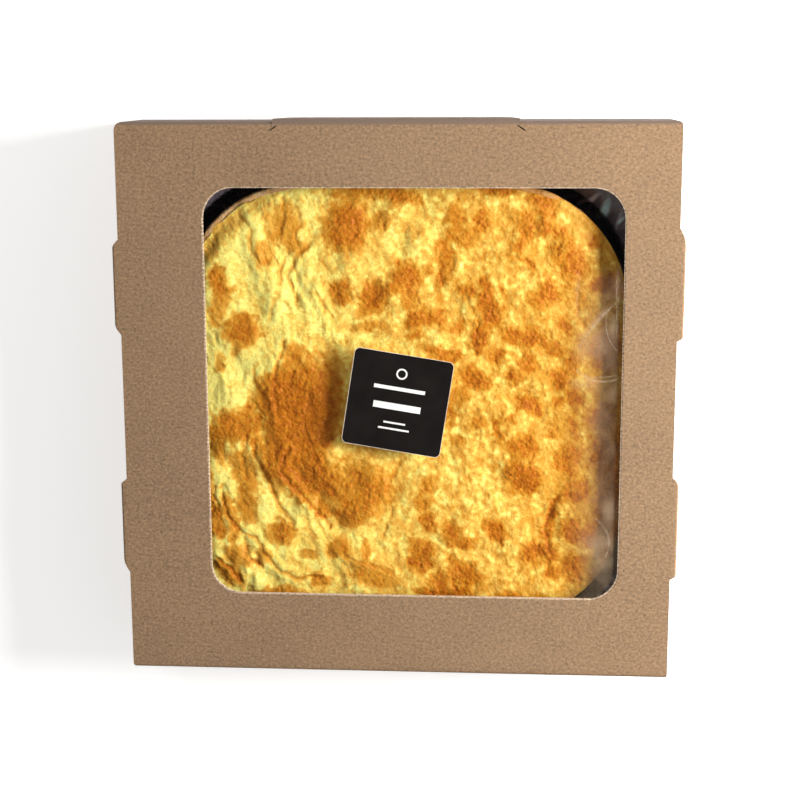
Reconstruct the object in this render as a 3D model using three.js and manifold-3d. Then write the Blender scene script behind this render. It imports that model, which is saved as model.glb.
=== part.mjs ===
// A square quiche lorraine in a shut window box of brown corrugated board.
// Millimetres, +Z up. The origin is at the middle of the underside. Seen from above, +X points
// right and +Y points to the edge where the lid is tucked shut.
import * as THREE from 'three';
import { mergeVertices } from 'three/addons/utils/BufferGeometryUtils.js';
import Module from 'manifold-3d';

const wasm = await Module();
wasm.setup();

// Driving dimensions ---------------------------------------------------------------------------

const BOX = {
  width: 300,            // along X
  depth: 305,            // along Y, without the closing flap
  height: 50,
  board: 1.6,            // one layer of board
  sideWall: 3.2,         // the walls at the left and right are rolled over, two layers thick
  foldRadius: 1.2,       // rounding of every folded edge
  corners: { backLeft: 4.5, backRight: 2.5, frontRight: 1.8, frontLeft: 2.2 },   // seen from above
};
const WINDOW = { left: -103.5, right: 121.4, front: -107.3, back: 117.7, corner: 16.5 };
const LID_SEAM = { height: 0.5, depth: 1.0, fromHinge: 6 };   // the shadow line under the lid's edge

// The four ears of the lid are folded down outside the side walls and tuck into them.
// side is -1 at the left and 1 at the right; each end is drawn in over its own ramp.
const EAR = { proud: 3.4, bend: 1.8, straightTo: 34, tuckedAt: 27, rootInside: 3 };
const EARS = [
  { side: -1, from: 38, to: 90, rampFrom: 7.5, rampTo: 6 },
  { side: -1, from: -96.5, to: -43, rampFrom: 10, rampTo: 3.5 },
  { side: 1, from: 36.6, to: 97, rampFrom: 3, rampTo: 11 },
  { side: 1, from: -95.4, to: -38, rampFrom: 3, rampTo: 6 },
];
const CLOSING_FLAP = {
  left: -65, right: 65.5, proud: 1.5, roll: 1.8, shoulder: 46.4, taper: 6, taperAtFoot: 4.2,
  bottom: 18, corner: 8,
};
// Relief cuts in the lid beside the flap's ends: how far in from the lid's edge, and their lean
const SLIT = { left: -64.5, right: 66, inset: 3.4, width: 0.6, length: 5, lean: 0.95 };

const GAP = 0.3;         // left between pieces that touch
const OVERSHOOT = 1;     // how far a cutting body reaches past what it cuts
const FILM = { thickness: 0.3, overlap: 10, corner: 5 };
const LABEL = { x: 0.65, y: 1.7, width: 54.5, depth: 53.6, thickness: 0.3, corner: 3, turn: -9 };

const QUICHE = {
  x: 2.5, y: -1.8, half: 122,
  corners: { backLeft: 68, backRight: 68, frontRight: 66, frontLeft: 55 },
};
const TRAY = {
  x: 1.5, y: -1.5, board: 0.8, floorHalf: 123.5, wallHalf: 126, rimHalf: 139, corner: 61, foot: 2,
  wallTop: 30, rimTop: 37.5, lip: 2.5, pleats: 18, pleatDepth: 1.0, pleatDepthInside: 0.3,
};
const PASTRY = { floor: 4, wall: 4.2, unevenWall: 1.4, rimTop: 38.6, rimWave: 0.5, perCorner: 14 };
const CUSTARD = {
  middle: 40.6, edge: 38.2, edgeWidth: 7, cells: 48, margin: 2, roughness: 0.9, noiseSize: 13,
};

// The pastry wall in section. Outside, from its foot up to the rim: how far it is set in from the
// quiche's outline, and its height over its foot or its depth under the rim.
const PASTRY_FOOT = [{ inset: 7.5, up: 0 }, { inset: 2.5, up: 5 }, { inset: 1, up: 20 }];
const PASTRY_RIM = [{ inset: 0.3, below: 2.5 }, { inset: 1.2, below: 0.6 }];
// Inside, from the rim down: share of the wall's thickness, and depth under the rim
const PASTRY_INSIDE = [{ share: 0.5, below: 0 }, { share: 0.85, below: 0.7 }, { share: 1, below: 2.4 }];

// Blistered swellings of the browned top: middle, half widths and height
const SWELLINGS = [
  { x: -28, y: 94, rx: 13, ry: 11, high: 0.9 },
  { x: -5, y: 64, rx: 26, ry: 10, high: 0.9 },
  { x: -30, y: 62, rx: 9, ry: 8, high: 0.6 },
  { x: -84, y: 40, rx: 11, ry: 9, high: 0.8 },
  { x: -98, y: 66, rx: 10, ry: 12, high: 0.7 },
  { x: -60, y: 96, rx: 13, ry: 10, high: 0.6 },
  { x: -56, y: 0, rx: 22, ry: 34, high: 1.3 },
  { x: -88, y: -14, rx: 17, ry: 16, high: 1.0 },
  { x: -18, y: -48, rx: 24, ry: 16, high: 1.5 },
  { x: -46, y: -34, rx: 20, ry: 16, high: 1.2 },
  { x: -64, y: -74, rx: 8, ry: 6, high: 0.7 },
  { x: 18, y: 46, rx: 14, ry: 9, high: 0.7 },
  { x: 46, y: 52, rx: 12, ry: 16, high: 0.8 },
  { x: 38, y: 14, rx: 14, ry: 10, high: 0.8 },
  { x: 34, y: 98, rx: 17, ry: 13, high: 0.6 },
  { x: 76, y: 62, rx: 12, ry: 10, high: 0.6 },
  { x: 72, y: 34, rx: 16, ry: 10, high: 0.7 },
  { x: 68, y: -38, rx: 13, ry: 13, high: 0.8 },
  { x: 32, y: -70, rx: 17, ry: 7, high: 0.8 },
  { x: 54, y: -70, rx: 6, ry: 7, high: 0.6 },
  { x: 14, y: -92, rx: 12, ry: 9, high: 0.8 },
  { x: 78, y: -80, rx: 12, ry: 8, high: 0.7 },
];

// Long folds of the skin: a crest (high > 0) or a furrow (high < 0) between two ends
const FOLDS = [
  { from: [-76, 86], to: [-66, 50], wide: 4, high: 1.2 },
  { from: [-62, 82], to: [-52, 48], wide: 4, high: -1.0 },
  { from: [-84, 74], to: [-78, 52], wide: 3.5, high: -0.9 },
  { from: [-48, 70], to: [-36, 38], wide: 5, high: 1.0 },
  { from: [-92, 26], to: [-74, -2], wide: 5, high: -1.0 },
  { from: [-76, 10], to: [-60, -34], wide: 5, high: 1.2 },
  { from: [-60, -36], to: [-34, -70], wide: 5, high: -1.6 },
  { from: [-72, -30], to: [-48, -62], wide: 5, high: 1.2 },
  { from: [-84, -34], to: [-62, -60], wide: 4.5, high: -1.2 },
  { from: [-97, -90], to: [-84, -112], wide: 4, high: -1.4 },
  { from: [-90, -76], to: [-70, -104], wide: 4, high: -1.3 },
  { from: [-94, -84], to: [-78, -108], wide: 4, high: 1.2 },
  { from: [-40, 30], to: [-26, -26], wide: 6, high: -1.2 },
  { from: [-46, -78], to: [-18, -92], wide: 5, high: 0.9 },
  { from: [2, -36], to: [-12, -76], wide: 5, high: -1.0 },
  { from: [84, -58], to: [83, -78], wide: 3.5, high: -1.2 },
  { from: [60, 80], to: [84, 100], wide: 5, high: 0.8 },
  { from: [22, 78], to: [30, 48], wide: 5, high: -0.8 },
];

// Colour, roughness and metalness of each material
const FINISHES = {
  kraftBoard: { color: 0xb4946f, roughness: 0.85, metalness: 0 },
  clearFilm: { color: 0xe9edef, roughness: 0.08, metalness: 0, transparent: true, opacity: 0.2 },
  blackPaper: { color: 0x262023, roughness: 0.45, metalness: 0 },
  blackTray: { color: 0x15161a, roughness: 0.25, metalness: 0 },
  bakedPastry: { color: 0xb5803c, roughness: 0.75, metalness: 0 },
  bakedCustard: { color: 0xe5b03f, roughness: 0.5, metalness: 0 },
};

// Levels that follow from the sizes above ------------------------------------------------------

const LID_UNDERSIDE = BOX.height - BOX.board;
const FILM_TOP = LID_UNDERSIDE - GAP;
const TRAY_BOTTOM = BOX.board + GAP;
const PASTRY_BOTTOM = TRAY_BOTTOM + TRAY.board + GAP;
const CUSTARD_BOTTOM = PASTRY_BOTTOM + PASTRY.floor + GAP;

// Solids and meshes ----------------------------------------------------------------------------

// The closed solid of a geometry, with its shared vertices merged.
function solidOf(geometry) {
  const bare = geometry.clone();
  bare.deleteAttribute('normal');
  bare.deleteAttribute('uv');
  const merged = mergeVertices(bare, 1e-4);
  return new wasm.Manifold(new wasm.Mesh({
    numProp: 3,
    vertProperties: new Float32Array(merged.attributes.position.array),
    triVerts: new Uint32Array(merged.index.array),
  }));
}

function geometryOf(solid) {
  const mesh = solid.getMesh();
  const geometry = new THREE.BufferGeometry();
  geometry.setAttribute('position', new THREE.BufferAttribute(new Float32Array(mesh.vertProperties), 3));
  geometry.setIndex(new THREE.BufferAttribute(new Uint32Array(mesh.triVerts), 1));
  geometry.computeVertexNormals();
  return geometry;
}

function namedMesh(name, geometry, finish) {
  const mesh = new THREE.Mesh(geometry, new THREE.MeshStandardMaterial(finish));
  mesh.name = name;
  return mesh;
}

// A rectangle with a rounding of its own at each corner.
function roundedRectangle(left, right, front, back, radii) {
  const shape = new THREE.Shape();
  const { backLeft, backRight, frontRight, frontLeft } = radii;
  shape.absarc(right - backRight, back - backRight, backRight, 0, Math.PI / 2);
  shape.absarc(left + backLeft, back - backLeft, backLeft, Math.PI / 2, Math.PI);
  shape.absarc(left + frontLeft, front + frontLeft, frontLeft, Math.PI, 1.5 * Math.PI);
  shape.absarc(right - frontRight, front + frontRight, frontRight, 1.5 * Math.PI, 2 * Math.PI);
  return shape;
}

function evenCorners(radius) {
  return { backLeft: radius, backRight: radius, frontRight: radius, frontLeft: radius };
}

// A shape drawn in plan, raised from one level to another.
function raised(shape, bottom, top, curveSegments = 8) {
  const options = { depth: top - bottom, bevelEnabled: false, curveSegments };
  return new THREE.ExtrudeGeometry(shape, options).translate(0, 0, bottom);
}

function slab(left, right, front, back, bottom, top) {
  const middle = [(left + right) / 2, (front + back) / 2, (bottom + top) / 2];
  return new THREE.BoxGeometry(right - left, back - front, top - bottom).translate(...middle);
}

// A shape drawn in the XZ plane, carried along Y from one place to another.
function carriedAlongY(shape, from, to) {
  const options = { depth: to - from, bevelEnabled: false, curveSegments: 6 };
  return new THREE.ExtrudeGeometry(shape, options).rotateX(Math.PI / 2).translate(0, to, 0);
}

// A closed surface through rings of equally many points, capped by a fan at its first and last ring.
function loft(rings) {
  const count = rings[0].length;
  const positions = rings.flat(2);
  const centreOf = (ring) => [0, 1, 2].map((axis) => ring.reduce((sum, p) => sum + p[axis], 0) / count);
  const firstCentre = rings.length * count;
  positions.push(...centreOf(rings[0]), ...centreOf(rings.at(-1)));
  const faces = [];
  for (let i = 0; i < count; i++) {
    const next = (i + 1) % count;
    faces.push(firstCentre, next, i);
    faces.push(firstCentre + 1, (rings.length - 1) * count + i, (rings.length - 1) * count + next);
    for (let ring = 0; ring < rings.length - 1; ring++) {
      const low = ring * count;
      const high = low + count;
      faces.push(low + i, low + next, high + next, low + i, high + next, high + i);
    }
  }
  const geometry = new THREE.BufferGeometry();
  geometry.setAttribute('position', new THREE.Float32BufferAttribute(positions, 3));
  geometry.setIndex(faces);
  return geometry;
}

// One ring of a square whose corners are rounded, with perCorner points round each corner. shift
// moves a point out and lift moves it up: both are told its angle and its number in the corner.
function squareRing(x, y, half, corners, z, perCorner, shift = () => 0, lift = () => 0) {
  const ring = [];
  const { backRight, backLeft, frontLeft, frontRight } = corners;
  [backRight, backLeft, frontLeft, frontRight].forEach((corner, quarter) => {
    const turn = quarter * Math.PI / 2;
    const arm = half - corner;
    const cx = arm * (Math.cos(turn) - Math.sin(turn));
    const cy = arm * (Math.sin(turn) + Math.cos(turn));
    for (let i = 0; i < perCorner; i++) {
      const angle = turn + i / (perCorner - 1) * Math.PI / 2;
      const reach = corner + shift(angle, i);
      ring.push([x + cx + reach * Math.cos(angle), y + cy + reach * Math.sin(angle), z + lift(angle, i)]);
    }
  });
  return ring;
}

// The box --------------------------------------------------------------------------------------

// The whole block of the shut box, its folded edges rounded.
function boxBlock() {
  const { width, depth, height, foldRadius, corners } = BOX;
  const outline = roundedRectangle(-width / 2, width / 2, -depth / 2, depth / 2, corners);
  const options = {
    depth: height - 2 * foldRadius,
    bevelThickness: foldRadius,
    bevelSize: foldRadius,
    bevelOffset: -foldRadius,
    bevelSegments: 2,
    curveSegments: 4,
  };
  return solidOf(new THREE.ExtrudeGeometry(outline, options).translate(0, 0, foldRadius));
}

function boxHollow() {
  const { width, depth, board, sideWall } = BOX;
  const halfWidth = width / 2 - sideWall;
  const halfDepth = depth / 2 - board;
  return solidOf(slab(-halfWidth, halfWidth, -halfDepth, halfDepth, board, LID_UNDERSIDE));
}

function windowCut() {
  const { left, right, front, back, corner } = WINDOW;
  const outline = roundedRectangle(left, right, front, back, evenCorners(corner));
  return solidOf(raised(outline, LID_UNDERSIDE - OVERSHOOT, BOX.height + OVERSHOOT));
}

// The seam round the three edges where the lid lies on the walls.
function lidSeam() {
  const { height, depth, fromHinge } = LID_SEAM;
  const side = BOX.width / 2;
  const back = BOX.depth / 2;
  const from = fromHinge - back;
  const past = OVERSHOOT;
  const bottom = LID_UNDERSIDE - height;
  const cuts = [
    slab(-side - past, -side + depth, from, back + past, bottom, LID_UNDERSIDE),
    slab(side - depth, side + past, from, back + past, bottom, LID_UNDERSIDE),
    slab(-side - past, side + past, back - depth, back + past, bottom, LID_UNDERSIDE),
  ];
  return cuts.map(solidOf).reduce((joined, cut) => joined.add(cut));
}

// A strip of board that bends over the edge at the given distance from the middle and runs down.
// The strip is drawn as distance and height, and comes back to the wall where it is tucked in.
function bentStrip(side, edge, { proud, bend, straightTo, tuckedAt }) {
  const inner = bend - BOX.board;
  const middle = { out: edge + proud - bend, up: BOX.height - bend };
  const shape = new THREE.Shape();
  const place = (out, up) => [side * out, up];
  const arc = (radius, from, to) => {
    for (let step = 0; step <= 5; step++) {
      const angle = from + (to - from) * step / 5;
      const out = middle.out + radius * Math.cos(angle);
      shape.lineTo(...place(out, middle.up + radius * Math.sin(angle)));
    }
  };
  shape.moveTo(...place(edge - BOX.board, LID_UNDERSIDE));
  shape.lineTo(...place(edge - BOX.board, BOX.height));
  arc(bend, Math.PI / 2, 0);
  shape.lineTo(...place(edge + proud, straightTo));
  shape.lineTo(...place(edge - BOX.board / 2, tuckedAt));
  shape.lineTo(...place(edge - BOX.board / 2, tuckedAt + BOX.board));
  shape.lineTo(...place(edge + proud - BOX.board, straightTo + BOX.board / 2));
  arc(inner, 0, Math.PI / 2);
  return shape;
}

function ear({ side, from, to, rampFrom, rampTo }) {
  const edge = BOX.width / 2;
  const root = edge - EAR.rootInside;
  const strip = bentStrip(side, edge, EAR);
  const outline = new THREE.Shape();
  const out = edge + EAR.proud + OVERSHOOT / 2;
  outline.moveTo(side * root, from);
  outline.lineTo(side * edge, from);
  outline.quadraticCurveTo(side * (edge + EAR.proud), from + rampFrom * 0.5, side * out, from + rampFrom);
  outline.lineTo(side * out, to - rampTo);
  outline.quadraticCurveTo(side * (edge + EAR.proud), to - rampTo * 0.5, side * edge, to);
  outline.lineTo(side * root, to);
  const plan = raised(outline, EAR.tuckedAt - OVERSHOOT, BOX.height + OVERSHOOT, 5);
  return solidOf(carriedAlongY(strip, from, to)).intersect(solidOf(plan));
}

// The flap that shuts the lid: it bends over the edge at +Y and lies on the wall there.
function closingFlap() {
  const { left, right, proud, roll, shoulder, taper, taperAtFoot, bottom, corner } = CLOSING_FLAP;
  const edge = BOX.depth / 2;
  const foot = bottom + corner;
  const face = new THREE.Shape();
  face.moveTo(left, BOX.height);
  face.lineTo(left, shoulder);
  face.lineTo(left + taperAtFoot, foot);
  face.quadraticCurveTo(left + taper, bottom, left + taper + corner, bottom);
  face.lineTo(right - taper - corner, bottom);
  face.quadraticCurveTo(right - taper, bottom, right - taperAtFoot, foot);
  face.lineTo(right, shoulder);
  face.lineTo(right, BOX.height);
  const leaf = solidOf(carriedAlongY(face, edge - BOX.board / 2, edge + proud));
  const fold = new THREE.Shape();
  fold.moveTo(BOX.height + OVERSHOOT, edge + proud - roll);
  fold.absarc(BOX.height - roll, edge + proud - roll, roll, 0, Math.PI / 2);
  fold.lineTo(BOX.height + OVERSHOOT, edge + proud);
  const options = { depth: right - left + 2 * OVERSHOOT, bevelEnabled: false, curveSegments: 4 };
  const shaving = new THREE.ExtrudeGeometry(fold, options);
  shaving.rotateY(-Math.PI / 2).translate(right + OVERSHOOT, 0, 0);
  return leaf.subtract(solidOf(shaving));
}

// A short slanting relief cut through the lid, beside one end of the closing flap.
function slit(x, lean) {
  const cut = new THREE.BoxGeometry(SLIT.width, SLIT.length, 2 * (BOX.board + OVERSHOOT));
  cut.rotateZ(lean);
  cut.translate(x, BOX.depth / 2 - SLIT.inset, BOX.height);
  return solidOf(cut);
}

function makeBox() {
  let solid = boxBlock().subtract(boxHollow()).subtract(windowCut()).subtract(lidSeam());
  for (const place of EARS) {
    solid = solid.add(ear(place));
  }
  solid = solid.add(closingFlap());
  solid = solid.subtract(slit(SLIT.left, -SLIT.lean)).subtract(slit(SLIT.right, SLIT.lean));
  return namedMesh('window_box', geometryOf(solid), FINISHES.kraftBoard);
}

function makeFilm() {
  const { overlap, thickness, corner } = FILM;
  const { left, right, front, back } = WINDOW;
  const outline = roundedRectangle(
    left - overlap, right + overlap, front - overlap, back + overlap, evenCorners(corner));
  return namedMesh('window_film', raised(outline, FILM_TOP - thickness, FILM_TOP, 3), FINISHES.clearFilm);
}

function makeLabel() {
  const { x, y, width, depth, thickness, corner, turn } = LABEL;
  const outline = roundedRectangle(-width / 2, width / 2, -depth / 2, depth / 2, evenCorners(corner));
  const label = namedMesh('label', raised(outline, 0, thickness, 5), FINISHES.blackPaper);
  label.position.set(x, y, FILM_TOP + GAP);
  label.rotation.z = THREE.MathUtils.degToRad(turn);
  return label;
}

// The tray of black board: a flat floor, a steep wall, and a wide rim that slopes outwards and is
// pleated round the corners.
function makeTray() {
  const { x, y, board, floorHalf, wallHalf, rimHalf, corner, foot, wallTop, rimTop, lip } = TRAY;
  const { pleats, pleatDepth, pleatDepthInside } = TRAY;
  const perCorner = 2 * pleats + 1;
  const ring = (half, z, depth = 0) => squareRing(
    x, y, half, evenCorners(corner + half - floorHalf), z, perCorner,
    () => 0, (angle, i) => (i % 2 ? -depth : depth));
  const rings = [
    ring(floorHalf - foot, TRAY_BOTTOM),
    ring(floorHalf, TRAY_BOTTOM + foot),
    ring(wallHalf, wallTop - board, pleatDepthInside),
    ring(rimHalf, rimTop - board, pleatDepth),
    ring(rimHalf + lip, rimTop - board, pleatDepth),
    ring(rimHalf + lip, rimTop, pleatDepth),
    ring(rimHalf, rimTop, pleatDepth),
    ring(wallHalf - board, wallTop, pleatDepthInside),
    ring(floorHalf - board, TRAY_BOTTOM + foot + board),
    ring(floorHalf - foot - board, TRAY_BOTTOM + board),
  ];
  return namedMesh('tray', loft(rings), FINISHES.blackTray);
}

// Thickness of the pastry wall in a direction: it is thicker towards the back left corner.
function wallThickness(angle) {
  return PASTRY.wall + PASTRY.unevenWall * Math.cos(angle - 0.75 * Math.PI);
}

// A ring of the pastry case or the custard, set in from the outline of the quiche.
function quicheRing(z, inset, lift = () => 0) {
  const { x, y, half, corners } = QUICHE;
  return squareRing(x, y, half, corners, z, PASTRY.perCorner, (angle) => -inset(angle), lift);
}

// The pastry case: a floor and a raised wall with an uneven rim.
function makePastryCase() {
  const { floor, rimTop, rimWave } = PASTRY;
  const wave = (angle) => rimWave * (Math.sin(5 * angle + 0.6) + 0.6 * Math.sin(11 * angle));
  const rings = [
    ...PASTRY_FOOT.map(({ inset, up }) => quicheRing(PASTRY_BOTTOM + up, () => inset)),
    ...PASTRY_RIM.map(({ inset, below }) => quicheRing(rimTop - below, () => inset, wave)),
    ...PASTRY_INSIDE.map(({ share, below }) => quicheRing(
      rimTop - below, (angle) => wallThickness(angle) * share, wave)),
    quicheRing(PASTRY_BOTTOM + floor, wallThickness),
  ];
  return namedMesh('pastry_case', loft(rings), FINISHES.bakedPastry);
}

// The custard ----------------------------------------------------------------------------------

// A number from 0 to 1 that belongs to a whole-numbered place.
function latticeValue(i, j) {
  const wave = Math.sin(i * 127.1 + j * 311.7 + 4.7) * 43758.5453;
  return wave - Math.floor(wave);
}

// Smooth noise from -1 to 1 over a lattice of the given size.
function smoothNoise(x, y, size) {
  const i = Math.floor(x / size);
  const j = Math.floor(y / size);
  const ease = (t) => t * t * (3 - 2 * t);
  const u = ease(x / size - i);
  const v = ease(y / size - j);
  const low = latticeValue(i, j) * (1 - u) + latticeValue(i + 1, j) * u;
  const high = latticeValue(i, j + 1) * (1 - u) + latticeValue(i + 1, j + 1) * u;
  return 2 * (low * (1 - v) + high * v) - 1;
}

function distanceToSegment(x, y, [ax, ay], [bx, by]) {
  const along = ((x - ax) * (bx - ax) + (y - ay) * (by - ay)) / ((bx - ax) ** 2 + (by - ay) ** 2);
  const t = THREE.MathUtils.clamp(along, 0, 1);
  return Math.hypot(x - ax - t * (bx - ax), y - ay - t * (by - ay));
}

// How far a point is inside the outline of the quiche.
function insideBy(x, y) {
  const { backRight, backLeft, frontLeft, frontRight } = QUICHE.corners;
  const right = x > QUICHE.x;
  const corner = y > QUICHE.y ? (right ? backRight : backLeft) : (right ? frontRight : frontLeft);
  const arm = QUICHE.half - corner;
  const overX = Math.max(Math.abs(x - QUICHE.x) - arm, 0);
  const overY = Math.max(Math.abs(y - QUICHE.y) - arm, 0);
  return corner - Math.hypot(overX, overY);
}

// Height of the baked top: level, with blistered swellings, folds of the skin and small bumps,
// and drawn down to the pastry at the edge.
function topHeight(x, y) {
  let relief = CUSTARD.roughness * smoothNoise(x, y, CUSTARD.noiseSize);
  relief += 0.5 * CUSTARD.roughness * smoothNoise(x + 50, y - 20, CUSTARD.noiseSize / 2);
  for (const { x: sx, y: sy, rx, ry, high } of SWELLINGS) {
    relief += high * Math.exp(-(((x - sx) / rx) ** 2) - ((y - sy) / ry) ** 2);
  }
  for (const { from, to, wide, high } of FOLDS) {
    relief += high * Math.exp(-((distanceToSegment(x, y, from, to) / wide) ** 2));
  }
  const inner = insideBy(x, y) - PASTRY.wall - PASTRY.unevenWall;
  const held = THREE.MathUtils.smoothstep(inner, -2, CUSTARD.edgeWidth);
  return THREE.MathUtils.lerp(CUSTARD.edge, CUSTARD.middle + relief, held);
}

// A square block under the height of the top, wider than the quiche.
function custardBlock() {
  const { cells, margin } = CUSTARD;
  const bottom = CUSTARD_BOTTOM - margin;
  const span = 2 * (QUICHE.half + margin);
  const at = (i) => span * (i / cells - 0.5);
  const positions = [];
  for (let j = 0; j <= cells; j++) {
    for (let i = 0; i <= cells; i++) {
      const x = QUICHE.x + at(i);
      const y = QUICHE.y + at(j);
      positions.push(x, y, topHeight(x, y));
    }
  }
  const top = (i, j) => j * (cells + 1) + i;
  const rim = [];
  for (let k = 0; k < 4 * cells; k++) {
    const step = k % cells;
    rim.push([[step, 0], [cells, step], [cells - step, cells], [0, cells - step]][Math.floor(k / cells)]);
  }
  const foot = positions.length / 3;
  for (const [i, j] of rim) {
    positions.push(QUICHE.x + at(i), QUICHE.y + at(j), bottom);
  }
  const middle = positions.length / 3;
  positions.push(QUICHE.x, QUICHE.y, bottom);
  const faces = [];
  for (let j = 0; j < cells; j++) {
    for (let i = 0; i < cells; i++) {
      faces.push(top(i, j), top(i + 1, j), top(i + 1, j + 1), top(i, j), top(i + 1, j + 1), top(i, j + 1));
    }
  }
  rim.forEach(([i, j], k) => {
    const next = (k + 1) % rim.length;
    const [ni, nj] = rim[next];
    faces.push(top(i, j), foot + k, foot + next, top(i, j), foot + next, top(ni, nj));
    faces.push(middle, foot + next, foot + k);
  });
  const geometry = new THREE.BufferGeometry();
  geometry.setAttribute('position', new THREE.Float32BufferAttribute(positions, 3));
  geometry.setIndex(faces);
  return solidOf(geometry);
}

// The custard fills the pastry case and stands a little over its rim.
function makeCustard() {
  const inset = (angle) => wallThickness(angle) + GAP;
  const filled = solidOf(loft([quicheRing(CUSTARD_BOTTOM, inset), quicheRing(BOX.height, inset)]));
  return namedMesh('custard_filling', geometryOf(filled.intersect(custardBlock())), FINISHES.bakedCustard);
}

// The whole pack, moved so that the origin is at the middle of its underside ---------------------

const pack = new THREE.Group();
pack.add(makeBox(), makeFilm(), makeLabel(), makeTray(), makePastryCase(), makeCustard());
pack.position.y = -CLOSING_FLAP.proud / 2;

export default pack;
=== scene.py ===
"""A square quiche lorraine in a shut window box of kraft board, on a pale floor."""
import math

import bpy
import numpy as np
from mathutils import Matrix, Vector


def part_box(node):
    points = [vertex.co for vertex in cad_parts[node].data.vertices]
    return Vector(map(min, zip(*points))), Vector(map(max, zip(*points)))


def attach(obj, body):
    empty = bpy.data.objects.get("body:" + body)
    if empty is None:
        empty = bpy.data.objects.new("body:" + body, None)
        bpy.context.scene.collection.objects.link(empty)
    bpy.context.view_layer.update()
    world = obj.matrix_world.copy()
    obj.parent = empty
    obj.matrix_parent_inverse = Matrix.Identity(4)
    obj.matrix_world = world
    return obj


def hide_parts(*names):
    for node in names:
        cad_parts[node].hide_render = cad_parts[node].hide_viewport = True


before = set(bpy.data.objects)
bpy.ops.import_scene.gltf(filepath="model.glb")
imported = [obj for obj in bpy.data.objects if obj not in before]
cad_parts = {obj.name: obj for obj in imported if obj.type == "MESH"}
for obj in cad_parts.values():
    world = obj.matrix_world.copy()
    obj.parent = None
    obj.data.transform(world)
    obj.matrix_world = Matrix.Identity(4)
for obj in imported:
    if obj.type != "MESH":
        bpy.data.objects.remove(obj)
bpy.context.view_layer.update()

bl_info = {
    "name": "Quiche in a window box",
    "version": (1, 0, 0),
    "blender": (4, 5, 0),
    "location": "View3D > Sidebar > Quiche box",
    "description": "Builds a baked quiche in a shut window box around its packed frame",
    "category": "Object",
}

MM = 0.001
BOX_LOW, BOX_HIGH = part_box("window_box")
FILM_LOW, FILM_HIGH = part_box("window_film")
LABEL_LOW, LABEL_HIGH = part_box("label")

# Sizes in millimetres, except LABEL_TURN, in degrees, and the slits' lean and BACK_LEFT, in
# radians. The lid's middle lies a little before the origin, because the closing flap stands proud
# of the edge at +Y.
FLAP_PROUD = 1.5
LID_SHIFT = -FLAP_PROUD / 2
EARS = (
    {"name": "ear_left_back", "side": -1, "ends": (38.0, 90.0), "ramps": (7.5, 6.0)},
    {"name": "ear_left_front", "side": -1, "ends": (-96.5, -43.0), "ramps": (10.0, 3.5)},
    {"name": "ear_right_back", "side": 1, "ends": (36.6, 97.0), "ramps": (3.0, 11.0)},
    {"name": "ear_right_front", "side": 1, "ends": (-95.4, -38.0), "ramps": (3.0, 6.0)},
)
EAR_BEND = 1.3      # outer radius of the fold of an ear
EAR_LENGTH = 14.1   # how far an ear hangs straight down before it turns in
EAR_TUCK = 7.5      # how far its tucked end runs down from there
FLAP = {"left": -65.0, "right": 65.5, "taper": 6.0, "corner": 8.0, "foot": 18}
SLITS = ((-64.5, -0.95), (66.0, 0.95))    # relief cuts beside the flap: place along X, lean
SLIT_INSET, SLIT_HALF_WIDTH, SLIT_HALF_LENGTH = 3.4, 0.3, 2.5
LIP_WIDTH, LIP_DEPTH = 0.65, 0.15         # pale step that runs round the window
FLUTE_SCALE = 156.254476                  # of the wave texture, whose flutes are 2.0 mm apart
LABEL_WIDTH, LABEL_DEPTH, LABEL_CORNER, LABEL_TURN = 54.5, 53.6, 3, -9
LABEL_MIDDLE = (0.65, 1.7)
LABEL_BARS = (
    (-14, 14, 6.6, 8.6), (-13, 13, -4.2, -0.6), (-6, 6, -12.0, -11.0), (-8.5, 8.5, -15.4, -14.4),
)
RING_HEIGHT, RING_RADIUS, RING_LINE = 16.0, 2.6, 0.45
FILM_FOIL = 0.03                          # thickness of the film as it is drawn
BACK_LEFT = 0.75 * math.pi                # direction in which the pastry is thickest
CORNERS = {(-1, 1): 4.5, (1, 1): 2.5, (1, -1): 1.8, (-1, -1): 2.2}  # rounding seen from above

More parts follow.
